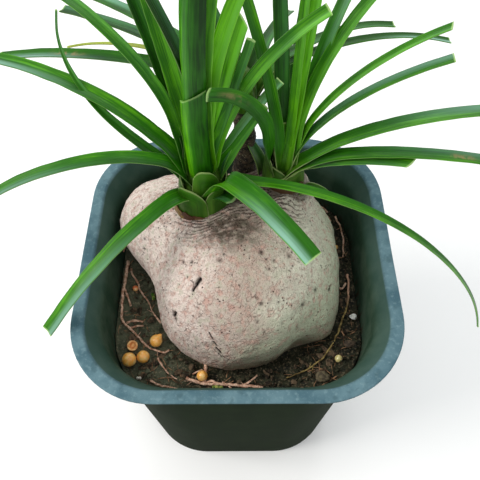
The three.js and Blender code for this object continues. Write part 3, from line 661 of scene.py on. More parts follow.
bm = bmesh.new()
scatter = random.Random(11)
laid = 0
while laid < CRUMBS:
    spot = drawn_spot(scatter, 1.5)
    radius = CRUMB_SIZES[0] + (CRUMB_SIZES[1] - CRUMB_SIZES[0]) * scatter.random() ** 3
    if wood_gap(spot) < radius:
        continue
    laid += 1
    z = soil_height(spot.x, spot.y) + radius * scatter.uniform(-0.3, 0.4)
    shares = (1, scatter.uniform(0.6, 1), scatter.uniform(0.5, 0.9))
    add_crumb(bm, Vector((spot.x, spot.y, z)), radius, drawn_turn(scatter, X=0.6), shares, 0.5, 0.7)
crumbs = finished(bm, "soil_crumbs", soil_finish, sharp=40)
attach(crumbs, "root")

# The rosettes: strap leaves that grow in a spiral from three short crowns and were all
# trimmed by hand. A leaf is a thin leathery strap with a channel along it and a rough pale
# edge. It clasps the crown with a broad olive base, and its cut end has dried pale.

BLADE_THICK = 0.75
BLADE_STEP = 8  # stations that shape a leaf are this far apart
BLADE_CHANNEL = 0.34  # depth of the fold, as a share of half the width
ROLL_RUN = 25  # a blade has its whole twist after this run
HEEL_RUN = (2, 26)  # a leaf is back on its own line at the end of this run
SHEATH_LEAN, SHEATH_TURN = 60, 8  # least rise of the sheath, and the run of the bend over it
FINE_STEPS = 5  # rings between two stations
ROUND_STEPS = 18  # points round a leaf's section
SCALE_STEPS, SCALE_THICK = 14, 0.35
CROWN_FOOT = 6  # the crowns reach this far into the neck
CROWN_STEPS, CROWN_SIDES = 16, 32
LEAF_MARKS = ("side", "run", "left", "tone", "bloom", "dry", "margin", "scar", "seed")


@dataclass
class Crown:
    """A short crown that leaves grow from: where its foot is, its size and its inner stalk."""
    x: float
    y: float
    z: float
    radius: float
    height: float
    core_share: float  # of the radius
    core_height: float


@dataclass
class Leaf:
    """One leaf, in degrees and millimetres. A run is measured along the leaf from its base."""
    turn: float  # the compass way that it grows
    sheath: float  # the run that stands upright
    lift: float  # rise of the blade after it
    droop: float  # and how far the blade bows down to its end
    length: float
    width: float
    bend: float = 1  # under 1, most of the droop comes early
    sweep: float = 0  # turn sideways to the end
    roll: float = 0  # twist of the blade
    tip: float = 0.8  # width of the end, as a share
    root: float = 3.5  # how far out on the crown it grows
    seat: float = None  # height of its base over the crown's foot
    tone: float = 0.45  # 0 is deep green, 1 yellow green: the leaf's own green, with painted light for a leaf that glows with light through it and painted shade for a shaded one
    bloom: float = 0.1  # painted sheen: a pale blue-white reflection of the sky, on one side or the other by its sign
    dry: float = 0.0
    cut: float = 0.0  # slant of the trimmed end
    split: float = 0.2  # painted light: how much lighter one half of the blade is, as the fold turns that half to the light
    grip: float = 0.9  # how much wider the base is
    bowl: float = 0.0  # 1 is a round channel, 0 a folded one
    margin: float = 1.0  # paleness of the edge
    free_at: float = None  # the run where it leaves the crown
    scar: tuple = (0, 0, 0)  # a scratched run, from and to, and how deep
    heel: tuple = (0, 0, 0)  # how far its base is moved


@dataclass
class Scale:
    """The broad base of an old leaf that clasps the crown, with an arched top."""
    turn: float
    spread: float  # degrees that it goes round
    foot: float  # heights of its foot and top
    top: float
    reach: float  # how far out it stands at the foot
    lean: float  # and how much less at the top
    # 0 deep green, 1 yellow green: own colour, with painted shade for the darker scales low in the crown
    tone: float = 0.3
    dry: float = 0.0
    skew: float = 0.0  # how much higher one side is
    shoulder: float = 0.35  # height of the sides, as a share


LEFT_HEAD = Crown(-12, 15, 135, 10.4, 14, 1, 14)
RIGHT_HEAD = Crown(18, 25, 137, 8, 13, 0.5, 4)
REAR_HEAD = Crown(3, 34, 168, 4.4, 11, 1, 11)

LEFT_LEAVES = (
    Leaf(190, 9, 52, 92, 104, 6.2, bend=0.5, tone=0.36, bloom=-0.5),
    Leaf(222, 2, 27, 66, 81, 6.8, bend=0.35, root=5, tone=0.42, bloom=-0.5, grip=0.4, heel=(1.5, 1, 0)),
    Leaf(160, 9, 54, 65, 106, 7, bend=0.7, bloom=-0.7),
    Leaf(168, 4, 41, 4, 86, 4.8, tip=0.16, sweep=-96),
    Leaf(150, 34, 60, 48, 94, 5.2, bend=0.8, tone=0.48),
    Leaf(128, 16, 64, 8, 98, 6.4, tone=0.35, split=0.4),
    Leaf(122, 18, 68, 10, 98, 6.6, tone=0.62),
    Leaf(148, 8, 93, 40, 86, 5.4, root=-0.2, tone=0.1),
    Leaf(240, 0, 83, -22, 98, 9, root=0.8, tip=0.95, tone=0.3, bloom=0, split=0.4, grip=0.2, bowl=1.0,
         margin=0),
    Leaf(240, 0, 84, -12, 51, 9.8, root=3.2, tip=1, tone=0.48, bloom=0, cut=-0.8, split=0.5, grip=0.2,
         bowl=1.0, margin=0),
    Leaf(43, 10, 92, 18, 90, 7, root=2.8, roll=30, tone=0.6),
    Leaf(31, 10, 91, 33, 84, 6, root=2.6, roll=45, tone=0.85),
    Leaf(37, 10, 80, 16, 71, 5.2, root=1.3, roll=45, tone=0.85, cut=-0.9, split=0.4),
    Leaf(22, 10, 71, 0, 68, 3.6, root=-0.7, roll=50, tone=0.4),
    Leaf(18, 10, 77, 47, 86, 4.8, sweep=-14, root=1.5, roll=50, tone=0.6),
    Leaf(20, 6, 57, 4, 44, 4.4, tip=0.6, roll=40, tone=0.55),
    Leaf(33, 6, 56, 28, 52, 5, tone=0.35, bloom=0.3),
    Leaf(-48, 14, 28, 52, 66, 9.2, bend=0.5, tone=0.46, bloom=1.0, grip=0.5),
    Leaf(-13, 7, 13, 88, 158, 4.4, bend=0.85, tip=0.4, tone=0.5, bloom=0.15),
    Leaf(-50, 6, 30, 30, 20, 6, root=5, tone=0.2, margin=0, grip=0.3),
)
RIGHT_LEAVES = (
    Leaf(210, 23, 65, 54, 63, 5.8, bend=1.2, roll=-80, tone=0.32, bloom=0, margin=0.3, scar=(47, 57, 0.4),
         free_at=1, grip=0.1, heel=(-2, -1.5, 0)),
    Leaf(166, 12, 80, 8, 75, 4.4, root=0.5, roll=-75, tone=0.42, bloom=0, free_at=1, grip=0.5,
         heel=(-1.5, -3, -0.5)),
    Leaf(100, 16, 75, 12, 88, 5.8, root=5, tone=0.22, free_at=1, grip=0.4, heel=(0, -4, 0)),
    Leaf(65, 10, 86, -3, 88, 3.6, tone=0.65, free_at=1, grip=0.4, heel=(-1, -5, 0)),
    Leaf(60, 10, 80, 2, 90, 5, tone=0.7, free_at=1, grip=0.3, heel=(-1.5, -6.5, -1)),
    Leaf(48, 10, 74, 30, 86, 5.4, tone=0.42, bloom=0.35, free_at=1, grip=0.3, heel=(-1, -5.5, -1)),
    Leaf(36, 14, 76, 50, 77, 5.6, tone=0.6, cut=0.5, free_at=1, grip=0.3, heel=(-0.5, -5, -1)),
    Leaf(8, 14, 66, 50, 81, 4, bend=0.8, tone=0.6, cut=-0.5, free_at=1, grip=0.4, heel=(-2, -2, 0)),
    Leaf(-3, 8, 66, 45, 76, 5, bend=0.7, tone=0.36, bloom=-0.35, free_at=1, grip=0.4, heel=(-2, -2.5, 0)),
    Leaf(-3, 1, 42, 44, 95, 6.6, bend=0.8, tone=0.48, bloom=-0.5, free_at=3, grip=0.5, heel=(-4, -4, 0)),
    Leaf(-12, 0, 36, 42, 94, 6, bend=0.5, tone=0.4, bloom=-0.35, scar=(63, 69, 0.7), free_at=3, grip=0.5,
         heel=(-3, -4, 0)),
    Leaf(-16, 0, 28, 25, 49, 6.4, tone=0.5, cut=-0.6),
    Leaf(-32, 0, -2, -12, 25, 4.4, tip=0.6, root=8, seat=-8, tone=0.4),
    Leaf(152, 0, 62, 0, 38, 4.4, root=9, seat=-6, tone=0.3),
    Leaf(80, 6, 52, 40, 78, 4.8, tone=0.3),
)
REAR_LEAVES = (
    Leaf(168, 2, 9, 26, 94, 6.2, tone=0.25, bloom=-0.7, scar=(60, 70, 0.55)),
    Leaf(170, 2, 27, 50, 66, 2.6, tip=0.3, tone=0.95, dry=0.55),
    Leaf(156, 2, 17, 22, 74, 5.4, tone=0.15, bloom=0.2),
    Leaf(147, 3, 16, 22, 78, 6, tone=0.35, bloom=0.6),
    Leaf(36, 3, 8, 20, 66, 4.4, sweep=-35, tone=0.3),
    Leaf(33, 3, -2, 16, 94, 4.4, sweep=-32, tone=0.3, bloom=0.9),
    Leaf(128, 3, 54, 20, 54, 4.6, tone=0.25),
    Leaf(112, 3, 20, 40, 68, 4.8, tone=0.25),
    Leaf(66, 3, 12, 36, 46, 4.6, tone=0.25),
)
LEFT_SCALES = (  # from the inside out
    Scale(282, 84, 140, 157, 8.6, 1.0, skew=-1.5, tone=0.35),
    Scale(185, 80, 133, 149, 10.2, 1.4),
    Scale(120, 80, 133, 150, 10.2, 1.6),
    Scale(62, 80, 133, 150, 10.2, 1.6),
    Scale(5, 80, 133, 148, 10.2, 1.6),
    Scale(322, 72, 133, 147, 11.1, 1.4, tone=0.15),
    Scale(306, 72, 132, 149, 11.3, 1.8, tone=0.25),
    Scale(240, 84, 131, 149.5, 11.8, 1.4, tone=0.25),
    Scale(204, 44, 131, 146, 11.2, 2.8, tone=0.5, dry=0.8, shoulder=0.2),
    Scale(212, 40, 131, 137.0, 12.3, 0.3, dry=1.0),
    Scale(238, 36, 132, 137.2, 12.2, 0.2, tone=0.1, dry=1.0),
    Scale(262, 40, 132, 137.4, 12.1, 0.2, dry=1.0),
    Scale(288, 40, 132, 137.4, 12.0, 0.2, tone=0.0, dry=1.0),
    Scale(316, 44, 132, 138.0, 11.9, 0.2, tone=0.2, dry=1.0),
)
RIGHT_SCALES = (
    Scale(90, 100, 140, 159, 5.6, 0.8, tone=0.5),
    Scale(195, 80, 134, 149, 8.2, 1.2),
    Scale(130, 80, 134, 149, 8.2, 1.4),
    Scale(60, 80, 134, 149, 8.2, 1.4),
    Scale(340, 100, 134, 146, 7.6, 1.4, tone=0.1, skew=2.0, shoulder=0.6),
    Scale(232, 100, 134, 145, 8.0, 1.6, tone=0.2, skew=-1.0, shoulder=0.5),
    Scale(296, 120, 133, 143, 8.4, 1.0, tone=0.2, skew=2.0, shoulder=0.7),
    Scale(262, 60, 133, 138.8, 9.0, 0.4, tone=-0.2, dry=0.9),
    Scale(305, 60, 133, 138.6, 9.1, 0.4, tone=0.1, dry=0.9),
)
REAR_SCALES = (
    Scale(270, 100, 164, 178, 4.6, 0.8),
    Scale(180, 90, 164, 176, 4.9, 0.8),
    Scale(90, 90, 164, 176, 4.7, 0.8),
    Scale(10, 90, 164, 176, 4.9, 0.8),
)


def ease(value, low, high):
    """The same rise for a single number."""
    return float(eased(np.array(float(value)), low, high))


def blade_stations(head, leaf):
    """The leaf's middle line, as in the part's source: each spot, and the way across there."""
    steps = max(5, round(leaf.length / BLADE_STEP))
    pace = leaf.length / steps
    free = leaf.length - leaf.sheath - SHEATH_TURN
    upright = max(SHEATH_LEAN + 0.3 * leaf.lift, leaf.lift)
    compass = math.radians(leaf.turn)
    seat = 4 * leaf.lift / 90 - 3 if leaf.seat is None else leaf.seat
    spot = Vector((head.x + leaf.root * math.cos(compass), head.y + leaf.root * math.sin(compass),
                   head.z + seat))
    stations = []
    for step in range(steps + 1):
        run = step * pace
        share = max(0, run - leaf.sheath - SHEATH_TURN) / free
        turned = ease(run, leaf.sheath, leaf.sheath + SHEATH_TURN)
        rise = math.radians(upright + (leaf.lift - upright) * turned - leaf.droop * share ** leaf.bend)
        turn = math.radians(leaf.turn + leaf.sweep * share**2)
        along = Vector((math.cos(rise) * math.cos(turn), math.cos(rise) * math.sin(turn), math.sin(rise)))
        twist = math.radians(leaf.roll) * ease(run, 0, ROLL_RUN)
        across = Matrix.Rotation(twist, 3, along) @ Vector((math.sin(turn), -math.cos(turn), 0))
        stations.append((spot.copy(), across))
        spot += along * pace
    return stations


def on_curve(points, index, t):
    """A share t of the way from one point to the next on a smooth curve through them all: the
    spot, and the way along the curve there."""
    four = [Vector(points[min(max(index + k, 0), len(points) - 1)]) for k in (-1, 0, 1, 2)]
    weights = ((-t + 2 * t**2 - t**3) / 2, (2 - 5 * t**2 + 3 * t**3) / 2,
               (t + 4 * t**2 - 3 * t**3) / 2, (t**3 - t**2) / 2)
    slopes = ((-1 + 4 * t - 3 * t**2) / 2, (-10 * t + 9 * t**2) / 2,
              (1 + 8 * t - 9 * t**2) / 2, (3 * t**2 - 2 * t) / 2)
    return [four[0] * w[0] + four[1] * w[1] + four[2] * w[2] + four[3] * w[3] for w in (weights, slopes)]


def smooth_line(stations):
    """The stations with FINE_STEPS rings between two of them, on a smooth curve through all."""
    rings = []
    last = len(stations) - 1
    for index in range(last):
        for step in range(FINE_STEPS + (index == last - 1)):
            t = step / FINE_STEPS
            spot, along = on_curve([station[0] for station in stations], index, t)
            along.normalize()
            across = stations[index][1].lerp(stations[index + 1][1], t)
            across = (across - along * across.dot(along)).normalized()
            rings.append((spot, along, across, across.cross(along)))
    return rings


def add_leaf(bm, layers, head, leaf, seed):
    """One leaf: a grid rolled up in to a thin lens along the leaf's line, clasping its crown."""
    stations = blade_stations(head, leaf)
    pace = leaf.length / (len(stations) - 1)
    rings = smooth_line([(spot + Vector(leaf.heel) * (1 - ease(step * pace, *HEEL_RUN)), across)
                         for step, (spot, across) in enumerate(stations)])
    last = len(rings) - 1
    axis = Vector((head.x, head.y, 0))
    free_at = leaf.free_at or min(leaf.sheath + SHEATH_TURN, 16)
    scar_start, scar_end, scar_depth = leaf.scar
    grid = bmesh.ops.create_grid(bm, x_segments=ROUND_STEPS, y_segments=last, size=1)["verts"]
    for vert in grid:
        angle = math.pi * (vert.co.x + 1)
        ring = round((vert.co.y + 1) / 2 * last)
        spot, along, across, face = rings[ring]
        run = leaf.length * ring / last
        left = leaf.length - run
        taper = 1 + (leaf.tip - 1) * ease(run / leaf.length, 0.25, 1)
        half = leaf.width / 2 * (1 + leaf.grip * (1 - ease(run, free_at - 8, free_at + 12))) * taper
        side = -math.cos(angle)
        valley = math.sqrt(side**2 + 0.02) - 0.14
        fold = half * (BLADE_CHANNEL * valley * (1 - leaf.bowl) + 0.6 * side**2 * leaf.bowl)
        thick = BLADE_THICK / 2 * (0.35 + 0.65 * abs(math.sin(angle))) * math.copysign(1, math.sin(angle))
        thick *= abs(math.sin(angle)) > 1e-6
        wave = 0.12 * noise.noise(Vector((run / 14, seed * 3.7, 0)))
        edge = 1 + 0.05 * noise.noise(Vector((run / 5, seed * 2.3, side)))
        trim = leaf.cut * half * side * ease(left, 7, 0)
        free = spot + across * (half * (side * edge + wave * 0.4)) + along * trim
        free += face * (fold + thick + wave)
        from_axis = Vector((spot.x, spot.y, 0)) - axis
        reach = max(from_axis.length, 3)
        hug = math.atan2(from_axis.y, from_axis.x) - max(-2.4, min(2.4, side * half / reach))
        clasp = axis + Vector((math.cos(hug), math.sin(hug), 0)) * (reach - thick) + Vector((0, 0, spot.z))
        vert.co = clasp.lerp(free, ease(run, free_at - 7, free_at + 5))
        scarred = ease(run, scar_start - 3, scar_start + 2) * ease(run, scar_end + 3, scar_end - 2)
        # the tone also carries painted light: one half of the blade is made lighter
        mark(vert, layers, side=side, run=run, left=left, bloom=leaf.bloom, margin=leaf.margin,
             tone=leaf.tone + leaf.split * ease(side, -0.4, 0.4) - leaf.split / 2,
             scar=scarred * scar_depth * ease(abs(side), 0.6, 0.1), dry=leaf.dry, seed=seed)
    bmesh.ops.remove_doubles(bm, verts=grid, dist=1e-4)
    rims = {edge for vert in grid if vert.is_valid for edge in vert.link_edges if edge.is_boundary}
    bmesh.ops.holes_fill(bm, edges=list(rims), sides=0)


def crown_radius(head, z):
    """Radius of the crown's outside at a height, as in the part's source."""
    heights = [head.z + h for h in (-CROWN_FOOT, -5, 0, 0.6 * head.height, head.height)]
    return head.radius * float(np.interp(z, heights, [0.8, 0.85, 1, 0.8, 0.45]))


def add_scale(bm, layers, head, scale, seed):
    """The clasping base of an old leaf: a sheet bent round the crown, with an arched top."""
    grid = bmesh.ops.create_grid(bm, x_segments=SCALE_STEPS, y_segments=SCALE_STEPS, size=1)["verts"]
    for vert in grid:
        side, up = vert.co.x, (vert.co.y + 1) / 2
        arch = math.sqrt(max(0, 1 - abs(side) ** 2.4))
        ragged = 0.35 * noise.noise(Vector((side * 2, up, seed * 3.1))) * (1 + 2 * scale.dry)
        z = scale.foot + (scale.top - scale.foot) * up * (scale.shoulder + (1 - scale.shoulder) * arch)
        z += (scale.skew * side + ragged) * up
        out = scale.reach - scale.lean * up**1.5
        out += 0.25 * noise.noise(Vector((side * 1.5, up * 2, seed * 1.7)))
        compass = math.radians(scale.turn + side * scale.spread / 2)
        vert.co = (head.x + out * math.cos(compass), head.y + out * math.sin(compass), z)
        mark(vert, layers, side=max(abs(side), up**3), run=5 + 0.4 * (z - scale.foot), margin=1.0,
             left=30, tone=scale.tone, dry=scale.dry, seed=seed)
    faces = list({face for vert in grid for face in vert.link_faces})
    bmesh.ops.recalc_face_normals(bm, faces=faces)
    bmesh.ops.solidify(bm, geom=faces, thickness=SCALE_THICK)


strap = Finish("leaf", sheen=0.18)
across_leaf, run_up, to_cut, leaf_tone_and_light, signed_sheen, dried, margin, scar, own = map(strap.attribute, LEAF_MARKS)
from_rib = strap.math("ABSOLUTE", across_leaf)
leaf_place = strap.add("CombineXYZ", strap.times(across_leaf, 3), strap.times(run_up, 0.03),
                       strap.times(own, 7.3))
veins = strap.noise(0.32, detail=2, place=leaf_place)
broad = strap.noise(1.3, detail=2, place=leaf_place, shift=3)
shade = strap.plus(-0.75, (leaf_tone_and_light, 1.0), (broad, 0.5), (veins, 0.6), (strap.noise(9), 0.4))
# painted sheen: the sky's pale reflection, on one side of the blade and towards the cut end
sheen_amount = strap.math("ABSOLUTE", signed_sheen)
sheen_side = strap.plus(broad, (across_leaf, strap.math("SIGN", signed_sheen)))
painted_sheen_mask = strap.times(sheen_amount, strap.ramp(sheen_side, 0.1, 1.2),
                   strap.ramp(to_cut, strap.plus(86, (sheen_amount, -50)), 8), strap.ramp(from_rib, 1.0, 0.8))
olive = strap.blend(strap.ramp(broad, 0.35, 0.65), (50, 78, 20), (86, 112, 40))
straw = strap.blend(strap.ramp(shade, 0.2, 0.8), (74, 48, 34), (182, 158, 84))
base_edge = strap.times(strap.ramp(from_rib, 0.86, 0.97), strap.ramp(run_up, 18, 10))
cut_face = strap.times(strap.ramp(strap.math("ADD", to_cut, broad), 1.5, 0.7), strap.ramp(margin, -0.8, 1))
green = strap.washes(
    strap.blend(strap.ramp(shade, -0.1, 0.5), (8, 44, 2), (38, 100, 8)),
    ((100, 178, 6), strap.ramp(shade, 0.4, 1.0)),
    # painted sheen
    ((152, 198, 180), painted_sheen_mask, 0.8),
    ((150, 184, 104), strap.ramp(from_rib, 0.94, 0.99), margin, 0.35),  # the edge
    (olive, strap.ramp(run_up, 16, 6), 0.6),  # the base
    ((160, 172, 116), base_edge, margin, 0.5),
    ((168, 128, 98), scar, strap.ramp(strap.noise(2.5, detail=4, shift=8), 0.38, 0.6), 0.8),
    (straw, dried),
    ((186, 216, 140), cut_face, 0.6))
leaf_finish = strap.coat(green, strap.spread(broad, 0.3, 0.42), strap.plus(broad, (veins, 0.8)), 0.12)

for name, head, leaves, scales in (
    ("rosette_left", LEFT_HEAD, LEFT_LEAVES, LEFT_SCALES),
    ("rosette_right", RIGHT_HEAD, RIGHT_LEAVES, RIGHT_SCALES),
    ("rosette_rear", REAR_HEAD, REAR_LEAVES, REAR_SCALES),
):
    bm = bmesh.new()
    layers = {key: bm.verts.layers.float.new(key) for key in LEAF_MARKS}
    rise = (head.core_height + CROWN_FOOT) / CROWN_STEPS
    line = [Vector((head.x, head.y, head.z - CROWN_FOOT + rise * k)) for k in range(CROWN_STEPS + 1)]
    radii = [head.core_share * crown_radius(head, spot.z) for spot in line]
    for vert in add_tube(bm, line, radii, CROWN_SIDES, upright=(0, 1, 0)):
        mark(vert, layers, run=6, left=30, tone=0.2)
    for index, leaf in enumerate(leaves):
        add_leaf(bm, layers, head, leaf, index + 1)
    for index, scale in enumerate(scales):
        add_scale(bm, layers, head, scale, 40 + index)
    bmesh.ops.recalc_face_normals(bm, faces=bm.faces)
    rosette = finished(bm, name, leaf_finish, sharp=75)
    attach(rosette, "root")
    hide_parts(name)

# The roots: bare feeder roots that lie on the soil, tan and pinkish, dry and a little
# knobbly, with hair roots at their sides. They were washed free by watering.

ROOTS = {  # thickness and the routes over the soil, as in the part's source
    "root_left": (1.5, [[(-48, 12), (-48.4, 3), (-48.6, -7), (-47.6, -16), (-44, -20), (-39.5, -24.6),
                         (-35.6, -28.6), (-31.6, -30)], [(-44, -20), (-41, -18.6), (-38.6, -18.8)]]),
    "root_inner": (0.9, [[(-43.5, 2.5), (-41, -3), (-37.6, -7.6), (-35.4, -12.5)]]),
    "root_thin": (0.8, [[(-31.6, -32.8), (-29, -37), (-26, -40.2), (-23.4, -41.6)]]),
    "root_front": (1.3, [[(-20, -41.6), (-14, -43.6), (-6, -43.8), (1, -44.2), (9.6, -44.9)],
                         [(1, -44.2), (4.4, -42.6), (7.6, -39.8)]]),
    "root_front_low": (1.0, [[(-34, -42.4), (-29.5, -44.2), (-24, -45.6), (-18.6, -46.8)]]),
    "root_right": (1.0, [[(47.6, 5.5), (47, -3), (45.6, -10), (42.4, -17.5), (39.4, -24.5), (33.6, -33),
                          (25, -38.8), (18, -41)]]),
    "root_rear": (0.9, [[(45, 36), (46.8, 30), (47.4, 23), (46.6, 15)]]),
}
ROOT_STEP = 0.8
ROOT_TIP, ROOT_LIFT = 0.5, 0.4  # width of the end as a share, and how high it lies
ROOT_TIPS, ROOT_LIFTS = {"root_front": 0.8}, {"root_front": 0.9}
SIDE_ROOT = 0.7  # thickness of a branch, as a share
ROOT_WANDER = 0.35
HAIR_THICK, HAIR_TIP, HAIR_LIFT = 0.35, 0.4, 0.6
HAIR_REACH = (0, 1.2, 2.6)
STEPS_A_HAIR = 9
HAIR_MARGIN = 1.5  # from the pot's wall


def curve_through(points, step):
    """Points every step millimetres or so on a smooth line through the given ones."""
    made = []
    for index in range(len(points) - 1):
        count = max(2, round((Vector(points[index + 1]) - Vector(points[index])).length / step))
        made += [on_curve(points, index, k / count)[0] for k in range(count + (index == len(points) - 2))]
    return made


def on_soil(x, y):
    """Height of whatever soil is uppermost at a place."""
    return max(soil_height(x, y), crumbly_height(x, y))


def add_root(bm, route, thick, tip=ROOT_TIP, sides=9, lift=ROOT_LIFT):
    """A root along a route over the soil: knobbly, thinner to its end."""
    line = []
    radii = []
    course = curve_through(route, ROOT_STEP)
    for index, spot in enumerate(course):
        here = Vector((spot.x, spot.y, 0))
        line.append(Vector((spot.x + ROOT_WANDER * noise.noise(here / 2.3),
                            spot.y + ROOT_WANDER * noise.noise(here / 2.3 + Vector((7, 0, 0))),
                            on_soil(spot.x, spot.y) + thick / 2 + lift
                            + 0.3 * noise.noise(here / 4 + Vector((0, 9, 0))))))
        knob = 1 + 0.35 * noise.noise(here / 1.3 + Vector((0, 0, 5)))
        radii.append(thick / 2 * (1 + (tip - 1) * index / (len(course) - 1)) * knob)
    add_tube(bm, line, radii, sides)


cork = Finish("root", sheen=0.3)
streaks = cork.noise(1.4, detail=4)
spots = cork.noise(0.5, shift=5)
root_colour = cork.washes(
    cork.blend(cork.ramp(streaks, 0.38, 0.64), (170, 124, 100), (232, 194, 168)),
    ((246, 218, 194), cork.ramp(spots, 0.58, 0.72)),
    ((116, 84, 66), cork.ramp(spots, 0.42, 0.3)))
root_finish = cork.coat(root_colour, cork.spread(streaks, 0.6, 0.85), spots, 0.12)
old_cork = Finish("old_root", sheen=0.3)
streaks = old_cork.noise(2.6, detail=4)
spots = old_cork.noise(0.5, shift=5)
old_colour = old_cork.washes(
    old_cork.blend(old_cork.ramp(streaks, 0.4, 0.62), (98, 80, 44), (164, 142, 88)),
    ((214, 168, 140), old_cork.ramp(old_cork.axis("Y"), -12, 0)),
    ((60, 46, 28), old_cork.ramp(spots, 0.42, 0.3)))
old_root_finish = old_cork.coat(old_colour, old_cork.ramp(streaks, 0.0, 0.6), spots, 0.12)

scatter = random.Random(23)
for name, (thick, routes) in ROOTS.items():
    bm = bmesh.new()
    for index, route in enumerate(routes):
        add_root(bm, route, thick * (SIDE_ROOT if index else 1), tip=ROOT_TIPS.get(name, ROOT_TIP),
                 lift=ROOT_LIFTS.get(name, ROOT_LIFT))
    course = curve_through(routes[0], ROOT_STEP)
    for _ in range(len(course) // STEPS_A_HAIR):
        start = course[scatter.randrange(2, len(course) - 1)]
        heading = scatter.uniform(0, math.tau)
        out = Vector((math.cos(heading), math.sin(heading)))
        hair = [kept_inside(start.xy + out * reach, HAIR_MARGIN) for reach in HAIR_REACH]
        add_root(bm, hair, HAIR_THICK, tip=HAIR_TIP, sides=5, lift=HAIR_LIFT)
    bmesh.ops.recalc_face_normals(bm, faces=bm.faces)
    root = finished(bm, name, old_root_finish if name == "root_right" else root_finish, sharp=180)
    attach(root, "root")
    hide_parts(name)

# The feed pellets: slow-release plant food in amber resin shells, 2 to 6 mm across, some
# still round and tight, one burst and left as an empty husk with its mouth up.

PELLETS = {  # middle in plan and width
    "pellet_1": ((-42.6, -34.2), 5.6),
    "pellet_2": ((-37.2, -33), 5),
    "pellet_3": ((-32.6, -26.4), 5),
    "pellet_4": ((-13.8, -40.8), 4.2),
    "pellet_5": ((-43.6, -1.4), 2.6),
    "pellet_6": ((43.8, 19.5), 2),
    "pellet_7": ((39.4, -34), 3),
}
PELLET_GAP, LYING_GAP = 0.08, 0.1  # they rest this high over the soil
PELLET_AMBER = (255, 180, 78)
PELLET_TONES = {"pellet_5": (226, 120, 66), "pellet_7": (206, 194, 132)}
POINTED, POINT_WAY, POINT_RISE = "pellet_3", Vector((0.6, 0.6, 0.5)).normalized(), 0.4
HUSK_AT, HUSK_SIZE, HUSK_WALL = (-42, -28), 4.2, 0.6
HUSK_MOUTH, MOUTH_WAY = 0.5, (0.25, -0.2, 1)

for name, (at, size) in PELLETS.items():
    resin = Finish(name, sheen=0.55, Subsurface_Weight=0.1, Subsurface_Scale=0.002,
                   Subsurface_Radius=(1.0, 0.6, 0.25), Coat_Weight=0.7, Coat_Roughness=0.12)
    frost = resin.noise(0.5, shift=9)
    tint = resin.washes(
        PELLET_TONES.get(name, PELLET_AMBER),
        ((255, 222, 150), resin.ramp(resin.noise(1.8), 0.4, 0.8)),
        ((240, 170, 84), resin.ramp(frost, 0.66, 0.8)))
    bm = bmesh.new()
    bmesh.ops.create_icosphere(bm, subdivisions=5, radius=size / 2)
    centre = Vector((*at, soil_height(*at) + size / 2 + PELLET_GAP))
    for vert in bm.verts:
        way = vert.co.normalized()
        dent = 1 + 0.03 * noise.noise(way * 1.6 + centre)
        point = POINT_RISE * max(0, way.dot(POINT_WAY)) ** 18 * (name == POINTED)
        vert.co = centre + vert.co * (dent + point)
    pellet = finished(bm, name, resin.coat(tint, resin.spread(frost, 0.2, 0.42), frost, 0.03), sharp=180)
    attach(pellet, "root")
    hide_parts(name)

shell = Finish("pellet_husk", sheen=0.45)
cloud = shell.noise(1.2, detail=4)
shell_tint = shell.blend(shell.ramp(cloud, 0.35, 0.65), (214, 140, 76), (252, 208, 140))
bm = bmesh.new()
bmesh.ops.create_icosphere(bm, subdivisions=5, radius=HUSK_SIZE / 2)
bmesh.ops.bisect_plane(bm, geom=bm.verts[:] + bm.edges[:] + bm.faces[:], plane_co=(0, 0, HUSK_MOUTH),
                       plane_no=MOUTH_WAY, clear_outer=True)
bmesh.ops.recalc_face_normals(bm, faces=bm.faces)
bmesh.ops.solidify(bm, geom=bm.faces[:], thickness=HUSK_WALL)
husk_centre = Vector((*HUSK_AT, soil_height(*HUSK_AT) + HUSK_SIZE / 2 + LYING_GAP))
for vert in bm.verts:
    vert.co = husk_centre + vert.co * (1 + 0.08 * noise.noise(vert.co * 0.9))
bmesh.ops.recalc_face_normals(bm, faces=bm.faces)
husk = finished(bm, "pellet_husk", shell.coat(shell_tint, shell.spread(cloud, 0.45, 0.65), cloud, 0.06),
                sharp=50)
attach(husk, "root")
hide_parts("pellet_husk")

# The grit: white puffs of perlite and small brown stones, which came with the potting mix
# and were washed up to its surface.

GRIT = {  # middle in plan, size, shares of it along X, Y and Z, slot and two colours
    "perlite_1": ((47.4, -15.4), 2.6, (1.2, 0.9, 0.9), "perlite", (255, 255, 250), (228, 226, 218)),
    "perlite_2": ((-38.4, -41), 1.8, (1.3, 0.7, 0.8), "perlite", (236, 232, 222), (188, 180, 168)),
    "pebble_1": ((32.6, -41.2), 5, (1.1, 0.9, 0.6), "pebble", (104, 94, 72), (66, 58, 44)),
    "pebble_2": ((44.6, -27.6), 4, (1.3, 0.8, 0.5), "pebble", (96, 80, 64), (58, 48, 38)),
}
for name, (at, size, shares, slot, light_tone, dark_tone) in GRIT.items():
    stone = Finish(name, sheen=0.3)
    veil = stone.noise(1.3, detail=4)
    pores = stone.noise(0.4, shift=2)
    tint = stone.washes(
        stone.blend(stone.ramp(veil, 0.38, 0.64), dark_tone, light_tone),
        (dark_tone, stone.ramp(pores, 0.42, 0.3), 0.5))
    bm = bmesh.new()
    bmesh.ops.create_icosphere(bm, subdivisions=5, radius=size / 2)
    centre = Vector((*at, soil_height(*at) + size / 2 * shares[2] + LYING_GAP))
    for vert in bm.verts:
        rough = 1 + 0.28 * noise.noise(vert.co * (1.1 / size * 2) + centre)
        rough += 0.07 * noise.noise(vert.co * 1.9)
        vert.co = centre + Vector(c * rough * share for c, share in zip(vert.co, shares))
    grain = finished(bm, name, stone.coat(tint, stone.spread(veil, 0.7, 0.9), pores, 0.12), sharp=180)
    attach(grain, "root")
    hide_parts(name)

